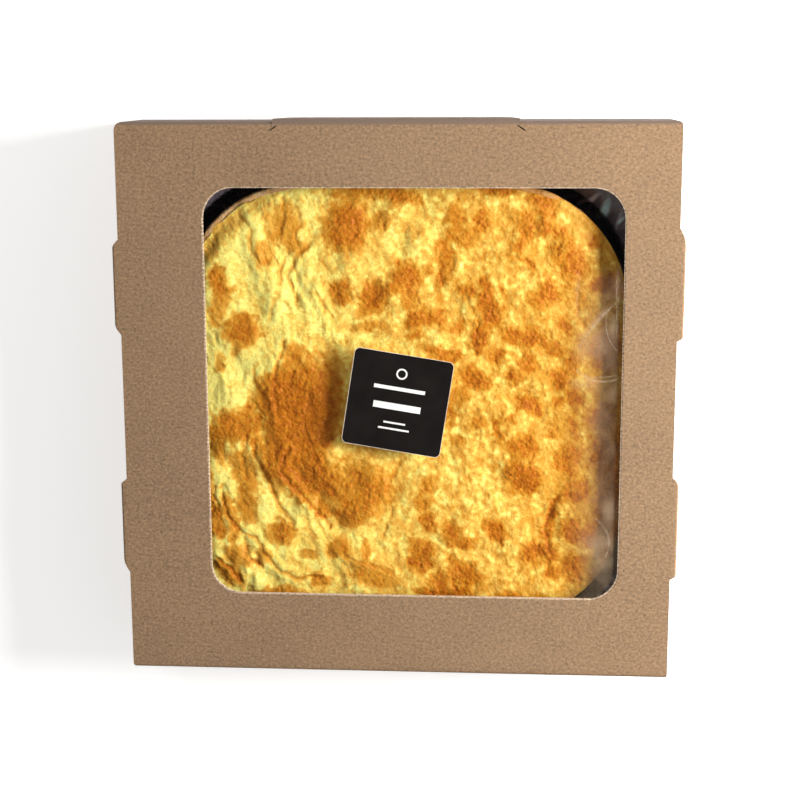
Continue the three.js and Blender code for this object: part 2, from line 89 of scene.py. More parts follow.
# Browned patches of the baked top: middle, half sizes and turn in degrees, and how deeply browned
BROWNED = (
    (-27, 96, 11, 12, 0, 0.95), (-97, 66, 6, 9, 15, 0.85), (-98, 52, 4, 8, 0, 0.50),
    (-85, 40, 9, 8, 25, 0.95), (-61, 97, 9, 12, 0, 0.50), (-53, 85, 6, 5, 0, 0.35),
    (-72, 82, 4, 7, 10, 0.35), (-12, 60, 9, 7, 20, 0.95), (4, 69, 8, 8, 0, 0.90),
    (8, 57, 4, 5, 0, 0.75), (-31, 62, 5, 6, -30, 0.80), (-15, 51, 9, 4, 0, 0.45),
    (-15, 41, 10, 3, 0, 0.40), (-15, 115, 17, 4, 0, 0.60), (-7, 101, 4, 5, 0, 0.35),
    (-98, 22, 4, 5, 0, 0.50), (-88, 28, 3, 5, 0, 0.35), (-57, 26, 6, 5, 40, 0.45),
    (-67, 3, 12, 14, 0, 1.00), (-50, 8, 12, 17, 0, 0.85), (-37, 8, 7, 15, 0, 0.80),
    (-56, -18, 18, 22, 0, 1.00), (-44, -10, 9, 17, 5, 0.95), (-90, -14, 13, 9, 20, 0.95),
    (-99, -26, 4, 9, 0, 0.60), (-78, -27, 4, 6, 30, 0.60), (-86, -42, 6, 14, 15, 0.60),
    (-66, -36, 8, 14, 25, 0.90), (-46, -44, 11, 11, -35, 0.95), (-22, -50, 19, 15, 0, 0.70),
    (-42, -62, 7, 4, -30, 0.70), (-27, -66, 8, 4, 0, 0.55), (-101, -69, 4, 8, 0, 0.95),
    (-93, -68, 3, 14, 8, 0.60), (-66, -74, 7, 6, 10, 0.90), (-33, -83, 6, 6, 0, 0.55),
    (-18, -86, 3, 5, 0, 0.50), (-13, -99, 12, 7, -15, 0.55), (-66, -110, 14, 4, 0, 0.70),
    (-50, -87, 5, 3, -15, 0.50), (-44, -104, 5, 4, 0, 0.60), (-84, -60, 6, 9, 10, 0.50),
    (-90, -88, 8, 5, -50, 0.55), (-76, -90, 5, 6, 45, 0.35), (-95, -99, 9, 5, -50, 0.65),
    (4, 111, 7, 5, 0, 0.70), (31, 102, 5, 6, 0, 0.65), (46, 101, 4, 6, -20, 0.75),
    (35, 92, 8, 6, 20, 0.60), (26, 84, 4, 5, 20, 0.40), (53, 117, 9, 4, 0, 0.85),
    (16, 73, 4, 3, 0, 0.55), (27, 72, 4, 12, -15, 0.60), (38, 61, 4, 4, -25, 0.60),
    (46, 65, 5, 4, -25, 0.80), (50, 52, 5, 10, 20, 0.95), (45, 36, 4, 8, -5, 0.85),
    (12, 47, 6, 5, 20, 0.85), (21, 47, 5, 5, 10, 0.70), (9, 38, 4, 3, 0, 0.40),
    (34, 43, 3, 5, 0, 0.70), (25, 28, 10, 3, -10, 0.80), (37, 19, 4, 4, 0, 0.60),
    (44, 13, 9, 5, -20, 0.85), (34, 5, 4, 5, 0, 0.55), (53, 26, 4, 6, 10, 0.72),
    (61, 38, 5, 4, -30, 0.85), (72, 36, 8, 4, -10, 0.72), (84, 31, 5, 4, -30, 0.60),
    (73, 23, 4, 6, 10, 0.75), (64, 16, 4, 5, 10, 0.78), (89, 15, 5, 5, 0, 0.78),
    (58, 62, 2, 6, 0, 0.50), (82, 62, 6, 5, -35, 0.80), (76, 56, 5, 4, -35, 0.45),
    (71, 75, 3, 5, 0, 0.55), (65, 84, 3, 4, 0, 0.45), (69, 96, 5, 9, -15, 0.60),
    (80, 97, 6, 5, -30, 0.60), (88, 93, 4, 4, -30, 0.65), (86, 83, 6, 3, -40, 0.45),
    (92, 74, 4, 6, 20, 0.50), (96, 80, 4, 10, 20, 0.70), (92, 44, 3, 5, 20, 0.55),
    (107, 88, 5, 4, 0, 0.70), (112, 65, 8, 6, 0, 0.85), (114, 30, 8, 10, 0, 0.85),
    (78, 110, 9, 5, -30, 0.75), (95, 24, 4, 7, 0, 0.65), (97, 4, 4, 7, 0, 0.60),
    (71, 1, 6, 4, -35, 0.90), (76, -5, 3, 3, -40, 0.60), (63, -9, 4, 3, 0, 0.62),
    (53, -12, 2, 5, 10, 0.75), (57, -19, 3, 4, -30, 0.55), (89, 2, 4, 3, 0, 0.45),
    (44, -11, 4, 3, 0, 0.45), (30, -6, 3, 7, 0, 0.55), (34, -21, 4, 3, 0, 0.35),
    (53, -35, 2, 3, 0, 0.35), (70, -24, 7, 7, 0, 0.65), (71, -42, 7, 9, 0, 1.00),
    (63, -40, 4, 8, 0, 0.70), (85, -17, 4, 2, 0, 0.50), (93, -32, 6, 12, 0, 0.60),
    (97, -13, 3, 5, 0, 0.55), (112, -6, 7, 8, 0, 0.85), (110, -27, 6, 8, 0, 0.80),
    (100, -48, 6, 7, 0, 0.75), (92, -52, 4, 6, 0, 0.40), (18, -45, 4, 6, 0, 0.50),
    (14, -57, 4, 5, 10, 0.60), (17, -67, 4, 5, 30, 0.80), (30, -71, 5, 4, -20, 0.85),
    (36, -78, 7, 4, 10, 0.75), (27, -76, 4, 5, 0, 0.50), (54, -71, 4, 6, 30, 0.97),
    (57, -76, 3, 3, 0, 0.55), (14, -88, 6, 8, 0, 0.85), (8, -80, 4, 3, 0, 0.50),
    (33, -91, 4, 4, 0, 0.75), (38, -99, 9, 7, -20, 0.88), (23, -102, 6, 5, 0, 0.75),
    (26, -109, 13, 5, 0, 0.90), (66, -112, 14, 5, 0, 0.85), (76, -83, 7, 5, 10, 0.85),
    (84, -68, 3, 11, -5, 0.80), (85, -84, 4, 5, 0, 0.60), (97, -72, 6, 5, -20, 0.88),
    (107, -72, 6, 6, 0, 0.72), (88, -95, 5, 4, 0, 0.60), (98, -92, 6, 8, 0, 0.65),
    (-93, 94, 20, 5, 46, 0.22), (112, 100, 6, 6, 0, 0.60), (-118, 20, 6, 40, 0, 0.70),
    (-110, -60, 6, 24, 0, 0.75),
    (-60, -118, 40, 5, 0, 0.70), (0, -116, 40, 4, 0, 0.75), (118, -50, 8, 40, 0, 0.70),
)

# Milky places of the film, partly haze and partly painted reflection: middle, half sizes and turn
# in degrees, and how much they veil
HAZE_AND_REFLECTION_OVALS = (
    (113, -80, 17, 15, 0, 0.24), (118, -58, 8, 12, 0, 0.16), (104, 33, 12, 14, 0, 0.16),
    (117, 43, 4, 10, 0, 0.16), (108, 48, 15, 3, 50, 0.18), (102, 14, 12, 6, 10, 0.12),
    (118, 10, 5, 14, 0, 0.10), (119, 66, 3, 16, 0, 0.12), (96, 62, 3, 14, -8, 0.08),
)

# Painted highlights: light caught by the pleats of the tray's corners, painted into its colour:
# middle, half sizes, turn, strength, tint
PAINTED_SKY_GLINT = (0.66, 0.92, 1.0, 1)
PAINTED_GREY_GLINT = (0.72, 0.60, 0.62, 1)
PAINTED_TRAY_GLINTS = (
    (111.2, 104.2, 9.5, 3.4, 73, 1.0, PAINTED_SKY_GLINT), (103.0, 109.6, 9.0, 2.2, 37, 0.85, PAINTED_GREY_GLINT),
    (119.6, 99.1, 4.0, 1.6, 46, 0.90, PAINTED_SKY_GLINT), (118.6, 98.5, 9.0, 1.6, 76, 0.30, PAINTED_GREY_GLINT),
    (-97.0, 108.5, 7, 1.2, 118, 0.30, PAINTED_GREY_GLINT), (-101.0, 104.5, 7, 1.1, 135, 0.25, PAINTED_GREY_GLINT),
    (-92.0, 112.0, 6, 1.1, 104, 0.25, PAINTED_GREY_GLINT), (114.0, -101.0, 9, 2.4, -48, 0.30, PAINTED_GREY_GLINT),
)

# Fine creases of the film, each through a few points, with its width
FILM_CREASES = (
    (((98, 32), (103, 42), (109, 49), (115, 55), (120.5, 60)), 0.45),
    (((97, 21), (101, 15.5), (108, 13.2), (115, 13.8), (121, 16.5)), 0.42),
    (((99, 19), (104, 16.5), (110, 15.6), (121, 18.5)), 0.22),
    (((113, 52), (111, 44), (113, 36), (118, 31), (120.5, 30)), 0.24),
    (((117.6, 74), (117.2, 60), (118.4, 48), (118.0, 38)), 0.20),
    (((119.4, 78), (119.6, 64), (119.0, 52)), 0.16),
    (((109, -62), (114, -65.5), (117.4, -71), (117.6, -78), (114.5, -84)), 0.42),
    (((98, 72), (96, 60), (98, 46)), 0.16),
)

# Creases of the skin, each through a few points, with how deep it is in millimetres
CREASES = (
    (((-47, 88), (-56, 79), (-60, 70), (-57, 62), (-54, 53)), 0.9),
    (((-62, 77), (-64, 66), (-67, 57), (-69, 45)), 0.7),
    (((-79, 94), (-79, 83), (-74, 74), (-69, 79)), 0.7),
    (((-61, 112), (-62, 99), (-66, 89)), 0.6),
    (((-42, 78), (-36, 73), (-26, 79)), 0.4),
    (((-44, 60), (-36, 47), (-33, 40)), 0.5),
    (((-61, 34), (-66, 20), (-69, 6), (-66, -6)), 0.8),
    (((-61, -26), (-65, -40), (-56, -50), (-46, -60), (-39, -70)), 1.1),
    (((-80, -20), (-80, -33), (-72, -45), (-66, -60), (-59, -70)), 0.9),
    (((-98, -48), (-96, -65), (-89, -75), (-80, -78), (-72, -92), (-58, -101), (-44, -101)), 1.0),
    (((-88, -78), (-84, -88), (-77, -95)), 1.0),
    (((-102, -90), (-95, -96), (-89, -104)), 1.2),
    (((-83, -20), (-88, -30), (-84, -44)), 0.7),
    (((-48, 4), (-52, -12), (-46, -28), (-42, -38)), 0.6),
    (((2, -33), (-5, -48), (-3, -62), (-9, -76)), 0.5),
    (((-30, -88), (-18, -92), (-2, -97)), 0.6),
    (((89, -52), (84, -60), (82, -70), (84, -82)), 1.1),
    (((97, -92), (99, -97), (101, -103)), 0.7),
    (((92, 82), (96, 74), (99, 70)), 0.7),
    (((97, 60), (97, 50), (101, 43)), 0.5),
    (((60, 82), (70, 78), (76, 70)), 0.5),
    (((24, 84), (22, 74), (26, 62)), 0.5),
    (((38, 58), (44, 44), (42, 34)), 0.6),
)


# Settings ---------------------------------------------------------------------------------------

def length(name, description, default, **more):
    return bpy.props.FloatProperty(
        name=name, description=description, default=default, unit="LENGTH", precision=5, **more)


def colour(name, description, default):
    return bpy.props.FloatVectorProperty(
        name=name, description=description, default=default, size=4, subtype="COLOR", min=0, max=1)


class BoxSettings(bpy.types.PropertyGroup):
    """Sizes and colours of the board box"""
    width: length("Width", "Width of the lid, without its ears", 0.300)
    depth: length("Depth", "Depth of the lid, without the closing flap", 0.305)
    height: length("Height", "Height of the shut box", BOX_HIGH.z - BOX_LOW.z)
    board: length("Board", "Thickness of one layer of board", 0.0016)
    side_wall: length("Side wall", "Thickness of the rolled side walls", 0.0032)
    fold_radius: length("Fold radius", "Outer radius where the lid is folded down", 0.0022)
    window_left: length("Window left", "Left edge of the window", -0.1035)
    window_right: length("Window right", "Right edge of the window", 0.1214)
    window_front: length("Window front", "Edge of the window nearest -Y", -0.1073)
    window_back: length("Window back", "Edge of the window nearest +Y", 0.1177)
    window_corner: length("Window corner", "Radius of the window's corners", 0.0165)
    ear_proud: length("Ear reach", "How far an ear stands out from the lid", 0.0034)
    kraft: colour("Kraft", "Colour of the board", (0.228, 0.143, 0.081, 1))


class FoodSettings(bpy.types.PropertyGroup):
    """Sizes of the quiche, and how finely its top is made"""
    middle: bpy.props.FloatVectorProperty(
        name="Middle", description="Middle of the quiche on the lid", default=(0.0025, -0.0018),
        size=2, unit="LENGTH", precision=5)
    half: length("Half width", "Half the width of the quiche", 0.122)
    corners: bpy.props.FloatVectorProperty(
        name="Corners", description="Radius of the corners: back right, back left, front left, "
        "front right", default=(0.068, 0.068, 0.055, 0.066), size=4, unit="LENGTH", precision=5)
    wall: length("Wall", "Mean thickness of the pastry wall", 0.0042)
    uneven_wall: length("Uneven wall", "How much thicker the wall is at the back left", 0.0014)
    rim_top: length("Rim top", "Height of the pastry's rim", 0.0386)
    cells: bpy.props.IntProperty(
        name="Cells", description="Cells across the baked top", default=300, min=40, max=300)


class StageSettings(bpy.types.PropertyGroup):
    """Place, turn and lens of the camera"""
    camera_place: bpy.props.FloatVectorProperty(
        name="Camera place", description="Place of the camera over the lid's middle",
        default=(0.0633, 0.173, 0.8988), size=3, unit="LENGTH")
    camera_turn: bpy.props.FloatVectorProperty(
        name="Camera turn", description="Turns about X, Y and Z that bring the room to the camera",
        default=(math.radians(11.29), math.radians(-4.04), math.radians(-0.60)), size=3,
        unit="ROTATION")
    lens: bpy.props.FloatProperty(
        name="Lens", description="Focal length on a 36 mm sensor", default=72.0, unit="CAMERA")


# Selecting and shaping --------------------------------------------------------------------------

def only(piece):
    """Deselects everything, then selects one piece and makes it active."""
    bpy.ops.object.select_all(action="DESELECT")
    piece.select_set(True)
    bpy.context.view_layer.objects.active = piece


def settle(piece):
    """Puts the piece's place, turn and scale into its mesh."""
    only(piece)
    bpy.ops.object.transform_apply(location=True, rotation=True, scale=True)
    return piece


def add_primitive(name, make, **settings):
    """A new piece from one of Blender's add operators."""
    bpy.ops.object.select_all(action="DESELECT")
    make(**settings)
    piece = bpy.context.object
    piece.name = piece.data.name = name
    return piece


def add_block(name, low, high):
    """A block between two corners, given in millimetres on the lid."""
    low, high = Vector(low) * MM, Vector(high) * MM
    piece = add_primitive(
        name, bpy.ops.mesh.primitive_cube_add, size=1,
        location=(low + high) / 2 + Vector((0, LID_SHIFT * MM, 0)))
    piece.scale = high - low
    return settle(piece)


def add_sheet(name, left, right, front, back, level):
    """A level rectangle, given in millimetres on the lid."""
    piece = add_primitive(
        name, bpy.ops.mesh.primitive_plane_add, size=1,
        location=((left + right) / 2 * MM, ((front + back) / 2 + LID_SHIFT) * MM, level * MM))
    piece.scale = ((right - left) * MM, (back - front) * MM, 1)
    return settle(piece)


def pick(piece, kind, test):
    """Enters edit mode with the vertices, edges or faces selected whose points all pass a test."""
    only(piece)
    mesh = piece.data
    bpy.ops.object.mode_set(mode="EDIT")
    bpy.ops.mesh.select_mode(type=kind)
    bpy.ops.mesh.select_all(action="DESELECT")
    bpy.ops.object.mode_set(mode="OBJECT")
    if kind == "VERT":
        for vertex in mesh.vertices:
            vertex.select = test(vertex.co)
    else:
        for item in mesh.edges if kind == "EDGE" else mesh.polygons:
            item.select = all(test(mesh.vertices[v].co) for v in item.vertices)
    bpy.ops.object.mode_set(mode="EDIT")


def anywhere(place):
    """A test that every point passes."""
    return True


def leave_edit():
    bpy.ops.object.mode_set(mode="OBJECT")


def edit(piece, kind, test, operator, **settings):
    """Runs one operator in edit mode on what passes the test."""
    pick(piece, kind, test)
    operator(**settings)
    leave_edit()


def face_up(piece):
    """Makes the faces of an open sheet agree, with the topmost one facing up."""
    pick(piece, "FACE", anywhere)
    bpy.ops.mesh.remove_doubles(threshold=1e-6)
    bpy.ops.mesh.normals_make_consistent(inside=False)
    leave_edit()
    if max(piece.data.polygons, key=lambda f: f.center.z).normal.z < 0:
        bpy.ops.object.mode_set(mode="EDIT")
        bpy.ops.mesh.flip_normals()
        leave_edit()


def bevel_upright(piece, x, y, radius, segments):
    """Rounds the upright edge that stands at x and y, in metres."""
    edit(piece, "EDGE", lambda p: abs(p.x - x) < 1e-5 and abs(p.y - y) < 1e-5,
         bpy.ops.mesh.bevel, offset=radius, segments=segments, profile=0.5, affect="EDGES")


def apply_modifier(piece, kind, **settings):
    only(piece)
    modifier = piece.modifiers.new(kind.title(), kind)
    for key, value in settings.items():
        setattr(modifier, key, value)
    bpy.ops.object.modifier_apply(modifier=modifier.name)


def cut(piece, cutter):
    """Takes the cutter out of the piece. The cut faces keep the cutter's material number."""
    apply_modifier(
        piece, "BOOLEAN", operation="DIFFERENCE", solver="EXACT", object=cutter,
        material_mode="INDEX")
    bpy.data.objects.remove(cutter)


def keep_inside(piece, cutter):
    """Keeps of the piece what lies inside the cutter."""
    dress(cutter, *piece.data.materials)
    apply_modifier(
        piece, "BOOLEAN", operation="INTERSECT", solver="EXACT", object=cutter,
        material_mode="INDEX")
    bpy.data.objects.remove(cutter)


def join(pieces, name):
    only(pieces[0])
    for piece in pieces[1:]:
        piece.select_set(True)
    if len(pieces) > 1:
        bpy.ops.object.join()
    pieces[0].name = pieces[0].data.name = name
    return pieces[0]


def dress(piece, *materials):
    piece.data.materials.clear()
    for material in materials:
        piece.data.materials.append(material)


def smooth(piece, degrees=35):
    only(piece)
    bpy.ops.object.shade_smooth_by_angle(angle=math.radians(degrees))


def copy_of_node(node, name):
    """A merged copy of a CAD node's mesh, to be shaped further."""
    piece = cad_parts[node].copy()
    piece.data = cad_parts[node].data.copy()
    piece.parent = None
    for key in list(piece.keys()):
        del piece[key]
    piece.name = piece.data.name = name
    bpy.context.scene.collection.objects.link(piece)
    edit(piece, "VERT", anywhere, bpy.ops.mesh.remove_doubles, threshold=1e-6)
    return piece


def hand_over(piece, node):
    """The piece rides on the body and stands for its node."""
    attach(piece, "root")
    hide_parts(node)


# Noise over the baked top, in millimetres ---------------------------------------------------------

def lattice(i, j, seed):
    """A number from 0 to 1 for each whole-numbered place."""
    wave = np.sin(i * 127.1 + j * 311.7 + seed * 74.7) * 43758.5453
    return wave - np.floor(wave)


def drift(x, y, size, seed):
    """Gradient noise, about -1 to 1, whose swells are about one size apart."""
    u, v = x / size, y / size
    i, j = np.floor(u), np.floor(v)
    u, v = u - i, v - j

    def corner(a, b):
        turn = 2 * np.pi * lattice(i + a, j + b, seed)
        return (u - a) * np.cos(turn) + (v - b) * np.sin(turn)

    fu, fv = (t * t * t * (t * (t * 6 - 15) + 10) for t in (u, v))
    low = corner(0, 0) * (1 - fu) + corner(1, 0) * fu
    high = corner(0, 1) * (1 - fu) + corner(1, 1) * fu
    return 1.6 * (low * (1 - fv) + high * fv)


def layered(x, y, size, seed, layers=3):
    """Noise of several sizes, each half as large and half as strong as the one before."""
    total, weight = 0.0, 1.0
    for layer in range(layers):
        total = total + weight * drift(x, y, size, seed + layer)
        size, weight = size / 2, weight / 2
    return total / (2 - 2 * weight)


def blisters(x, y, size, seed):
    """Domes packed side by side, from 0 in the creases between them to 1 on top."""
    u, v = x / size, y / size
    i, j = np.floor(u), np.floor(v)
    nearest = np.full_like(u, 9.0)
    for a in (-1, 0, 1):
        for b in (-1, 0, 1):
            px = i + a + lattice(i + a, j + b, seed)
            py = j + b + lattice(i + a, j + b, seed + 5)
            nearest = np.minimum(nearest, (u - px) ** 2 + (v - py) ** 2)
    return 1 - np.clip(nearest, 0, 1)


def ramp(value, low, high):
    t = np.clip((value - low) / (high - low), 0, 1)
    return t * t * (3 - 2 * t)


def distance_to_line(x, y, points):
    nearest = np.full_like(x, 1e3)
    for (ax, ay), (bx, by) in zip(points, points[1:]):
        run = (bx - ax) ** 2 + (by - ay) ** 2
        t = np.clip(((x - ax) * (bx - ax) + (y - ay) * (by - ay)) / run, 0, 1)
        nearest = np.minimum(nearest, np.hypot(x - ax - t * (bx - ax), y - ay - t * (by - ay)))
    return nearest


def browning(x, y):
    """How browned the top is at each place, before it is spread evenly from pale to dark."""
    wx = x + 4.0 * layered(x, y, 17, 3) + 2.4 * layered(x, y, 4.5, 9, 3)
    wy = y + 4.0 * layered(x, y, 17, 13) + 2.4 * layered(x, y, 4.5, 19, 3)
    ragged = 1 + 0.30 * layered(x, y, 5, 27, 2)
    bare = np.ones_like(x)
    for px, py, rx, ry, turn, depth in BROWNED:
        c, s = math.cos(math.radians(turn)), math.sin(math.radians(turn))
        along, across = (wx - px) * c + (wy - py) * s, (wy - py) * c - (wx - px) * s
        reach = np.hypot(along / rx, across / ry) * ragged
        bare = bare * (1 - 0.8 * depth * ramp(-reach, -1.50, -0.50))
    # Painted light: browner towards +X and paler towards -X, offsetting how the light from +X falls
    # across the top
    brown = 1 - bare + 0.0019 * x
    # Streaks that run down to the right, longer than wide; finer and stronger on the right half
    c, s = math.cos(math.radians(28)), math.sin(math.radians(28))
    along, across = x * s - y * c, x * c + y * s
    side = ramp(x, -30, 50)
    brown = brown + (0.15 + 0.04 * side) * layered(across, along * 0.55, 10, 31)
    brown = brown + (0.12 + 0.12 * side) * layered(across, along * 0.6, 3.2, 41, 2)
    brown = brown + 0.08 * drift(x, y, 1.5, 47)
    lx, ly = lumpy(x, y)
    # Painted highlight and shade: blister tops are paler and the gaps between them browner
    brown = brown - (0.06 + 0.16 * side) * (blisters(lx, ly, 3.6, 71) - 0.55)
    brown = brown - 0.08 * side * (blisters(lx, ly, 2.2, 73) - 0.55)
    brown = brown + 0.08 * layered(x, y, 34, 51, 2)
    # Darker along the creases: partly browning, partly painted shade in the crease lines
    wx, wy = wavering(x, y)
    for points, deep in CREASES:
        brown = brown + 0.16 * deep * np.exp(-(distance_to_line(wx, wy, points) / 1.2) ** 2)
    return brown


def lumpy(x, y):
    """Places moved so that the blisters aren't round."""
    return x + 1.6 * drift(x, y, 6, 61), y + 1.6 * drift(x, y, 6, 67)


def wavering(x, y):
    """Places moved a little to and fro, so that a line drawn through them wavers."""
    return (x + 2.2 * layered(x, y, 13, 63, 2) + 0.8 * drift(x, y, 3.5, 65),
            y + 2.2 * layered(x, y, 13, 73, 2) + 0.8 * drift(x, y, 3.5, 75))


def skin_folds(x, y):
    """Narrow crests and creases of the shrunken skin, most of all at the left."""
    c, s = math.cos(math.radians(20)), math.sin(math.radians(20))
    along, across = x * s - y * c, x * c + y * s
    sway = 5 * drift(x, y, 20, 85) + 1.5 * drift(x, y, 7, 87)
    fold = drift(across + sway, along * 0.20, 4.2, 83)
    crease = np.exp(-(drift(across + 1.2 * sway, along * 0.16 + 40, 6.0, 95) / 0.13) ** 2)
    where = ramp(layered(x, y, 22, 97, 2), -0.15, 0.25)
    left = 1 - 0.65 * ramp(x, -45, 20)
    return 0.29 * left * fold - 0.33 * left * where * crease


def swells(x, y):
    """Broad low swells of the baked top, in millimetres."""
    return 0.45 * layered(x, y, 9, 89, 2)


def baked_relief(x, y, brown):
    """Height in millimetres of the blisters, folds and creases of the skin."""
    blistered = ramp(brown, 0.50, 0.85)
    wx, wy = lumpy(x, y)
    high = 0.40 * blistered * (blisters(wx, wy, 3.6, 71) - 0.55)
    high = high + (0.05 + 0.22 * blistered) * (blisters(wx, wy, 2.2, 73) - 0.55)
    high = high + (1 - 0.3 * blistered) * skin_folds(x, y)
    ripple = 1 - np.abs(layered(x + 0.5 * y, y, 3.4, 79, 2))
    high = high + 0.20 * (ripple - 0.7)
    high = high + swells(x, y)
    wx, wy = wavering(x, y)
    for points, deep in CREASES:
        d = distance_to_line(wx, wy, points)
        crest, crease = np.exp(-((d - 2.4) / 1.6) ** 2), np.exp(-(d / 0.8) ** 2)
        high = high + deep * (0.32 * crest - 0.38 * crease)
    return high


# Shader helpers -----------------------------------------------------------------------------------

def new_material(name):
    material = bpy.data.materials.new(name)
    material.use_nodes = True
    tree = material.node_tree
    return material, tree, tree.nodes["Principled BSDF"]


def set_inputs(tree, node, inputs):
    """Links each input to the socket given for it, or sets it to the value given."""
    for key, value in inputs.items():
        if isinstance(value, bpy.types.NodeSocket):
            tree.links.new(value, node.inputs[key])
        else:
            node.inputs[key].default_value = value


def add_node(tree, kind, inputs=None, **settings):
    node = tree.nodes.new(kind)
    for key, value in settings.items():
        setattr(node, key, value)
    set_inputs(tree, node, inputs or {})
    return node


def place_of(tree):
    return add_node(tree, "ShaderNodeTexCoord").outputs["Object"]


def axis_of(tree, vector, axis):
    return add_node(tree, "ShaderNodeSeparateXYZ", {"Vector": vector}).outputs[axis]


def stretched(tree, vector, scale, turn=0.0, shift=(0, 0, 0)):
    """The vector moved, turned about Z and stretched."""
    return add_node(tree, "ShaderNodeMapping", {
        "Vector": vector, "Scale": scale, "Rotation": (0, 0, turn), "Location": shift,
    }).outputs["Vector"]


def noise_of(tree, vector, scale, detail=2.0, roughness=0.5):
    return add_node(tree, "ShaderNodeTexNoise", {
        "Vector": vector, "Scale": scale, "Detail": detail, "Roughness": roughness,
    }).outputs["Fac"]


def sum_of(tree, operation, *values):
    inputs = dict(enumerate(values))
    return add_node(tree, "ShaderNodeMath", inputs, operation=operation).outputs[0]


def spread(tree, value, from_low, from_high, to_low, to_high, smooth_step=False):
    return add_node(tree, "ShaderNodeMapRange", {
        "Value": value, "From Min": from_low, "From Max": from_high, "To Min": to_low,
        "To Max": to_high,
    }, interpolation_type="SMOOTHSTEP" if smooth_step else "LINEAR").outputs["Result"]


def mix_of(tree, factor, a, b, blend="MIX"):
    """A mix of two colours. In a node that mixes colours they are inputs 6 and 7, and output 2."""
    inputs = {0: factor, 6: a, 7: b}
    return add_node(
        tree, "ShaderNodeMix", inputs, data_type="RGBA", blend_type=blend).outputs[2]


def colour_ramp(tree, value, stops):
    node = add_node(tree, "ShaderNodeValToRGB", {"Fac": value})
    elements = node.color_ramp.elements
    while len(elements) < len(stops):
        elements.new(0.5)
    for element, (position, tint) in zip(elements, stops):
        element.position = position
        element.color = (*tint, 1)
    return node.outputs["Color"]


def bump_of(tree, height, distance, strength=1.0, normal=None):
    inputs = {"Height": height, "Distance": distance, "Strength": strength}
    if normal is not None:
        inputs["Normal"] = normal
    return add_node(tree, "ShaderNodeBump", inputs).outputs["Normal"]


def in_oval(tree, place, x, y, half_length, half_width, turn):
    """1 in the middle of an oval given in millimetres on the lid, falling to 0 at its edge."""
    local = add_node(tree, "ShaderNodeMapping", {
        "Vector": place, "Location": (x * MM, (y + LID_SHIFT) * MM, 0),
        "Rotation": (0, 0, math.radians(turn)), "Scale": (half_length * MM, half_width * MM, 1),
    }, vector_type="TEXTURE").outputs["Vector"]
    away = add_node(tree, "ShaderNodeVectorMath", {0: local}, operation="LENGTH").outputs["Value"]
    return spread(tree, away, 0.15, 1.0, 1.0, 0.0, True)


def effect_group(name, inputs, outputs):
    """An empty node group with named sockets, its input node and its output node."""
    group = bpy.data.node_groups.new(name, "ShaderNodeTree")
    for label, kind, default in inputs:
        socket = group.interface.new_socket(label, in_out="INPUT", socket_type=kind)
        if default is not None:
            socket.default_value = default
    for label, kind in outputs:
        group.interface.new_socket(label, in_out="OUTPUT", socket_type=kind)
    return group, group.nodes.new("NodeGroupInput"), group.nodes.new("NodeGroupOutput")


def paper_fibre(tree, place, contrast):
    """The tint factor and the height of the paper's fibres at each place."""
    node = add_node(
        tree, "ShaderNodeGroup", {"Place": place, "Contrast": contrast},
        node_tree=paper_fibre_group())
    return node.outputs["Tint"], node.outputs["Height"]


def flutes_of(tree, place, **inputs):
    """Waves across Y where the board's flutes are."""
    return add_node(tree, "ShaderNodeTexWave", {
        "Vector": place, "Scale": FLUTE_SCALE, **inputs,
    }, wave_type="BANDS", bands_direction="Y", wave_profile="SIN").outputs["Fac"]


def srgb(red, green, blue):
    """A colour given from 0 to 255 as shown on a screen, as linear values."""
    def linear(value):
        value = value / 255
        return value / 12.92 if value <= 0.04045 else ((value + 0.055) / 1.055) ** 2.4
    return tuple(linear(value) for value in (red, green, blue))


def paper_fibre_group():
    """Flecks, fibres and soft mottling of unbleached paper, as a tint factor and a height."""
    found = bpy.data.node_groups.get("paper fibre")
    if found:
        return found
    group, entry, out = effect_group(
        "paper fibre",
        [("Place", "NodeSocketVector", None), ("Contrast", "NodeSocketFloat", 1.0)],
        [("Tint", "NodeSocketFloat"), ("Height", "NodeSocketFloat")])
    place = entry.outputs["Place"]
    cloud = spread(group, noise_of(group, place, 28, 3, 0.55), 0.3, 0.7, -0.05, 0.05)
    grain = noise_of(group, stretched(group, place, (640, 720, 700), 0.1), 1.0, 2, 0.7)
    grain_tint = spread(group, grain, 0.3, 0.7, -0.34, 0.34)
    dash = noise_of(
        group, stretched(group, place, (330, 1000, 900), -0.05, (0.3, 0.1, 0)), 1.0, 2, 0.6)
    dark_dash = spread(group, dash, 0.62, 0.76, 0.0, -0.34, True)
    pale_dash = spread(group, dash, 0.26, 0.38, 0.25, 0.0, True)
    speck = noise_of(
        group, stretched(group, place, (700, 800, 700), 0.4, (0.7, 0.2, 0)), 1.0, 1, 0.5)
    dark_speck = spread(group, speck, 0.66, 0.74, 0.0, -0.40, True)
    total = sum_of(group, "ADD", sum_of(group, "ADD", cloud, grain_tint),
                   sum_of(group, "ADD", sum_of(group, "ADD", dark_dash, pale_dash), dark_speck))
    tint = sum_of(group, "MULTIPLY_ADD", total, entry.outputs["Contrast"], 1.0)
    group.links.new(tint, out.inputs["Tint"])
    group.links.new(grain, out.inputs["Height"])
    return group


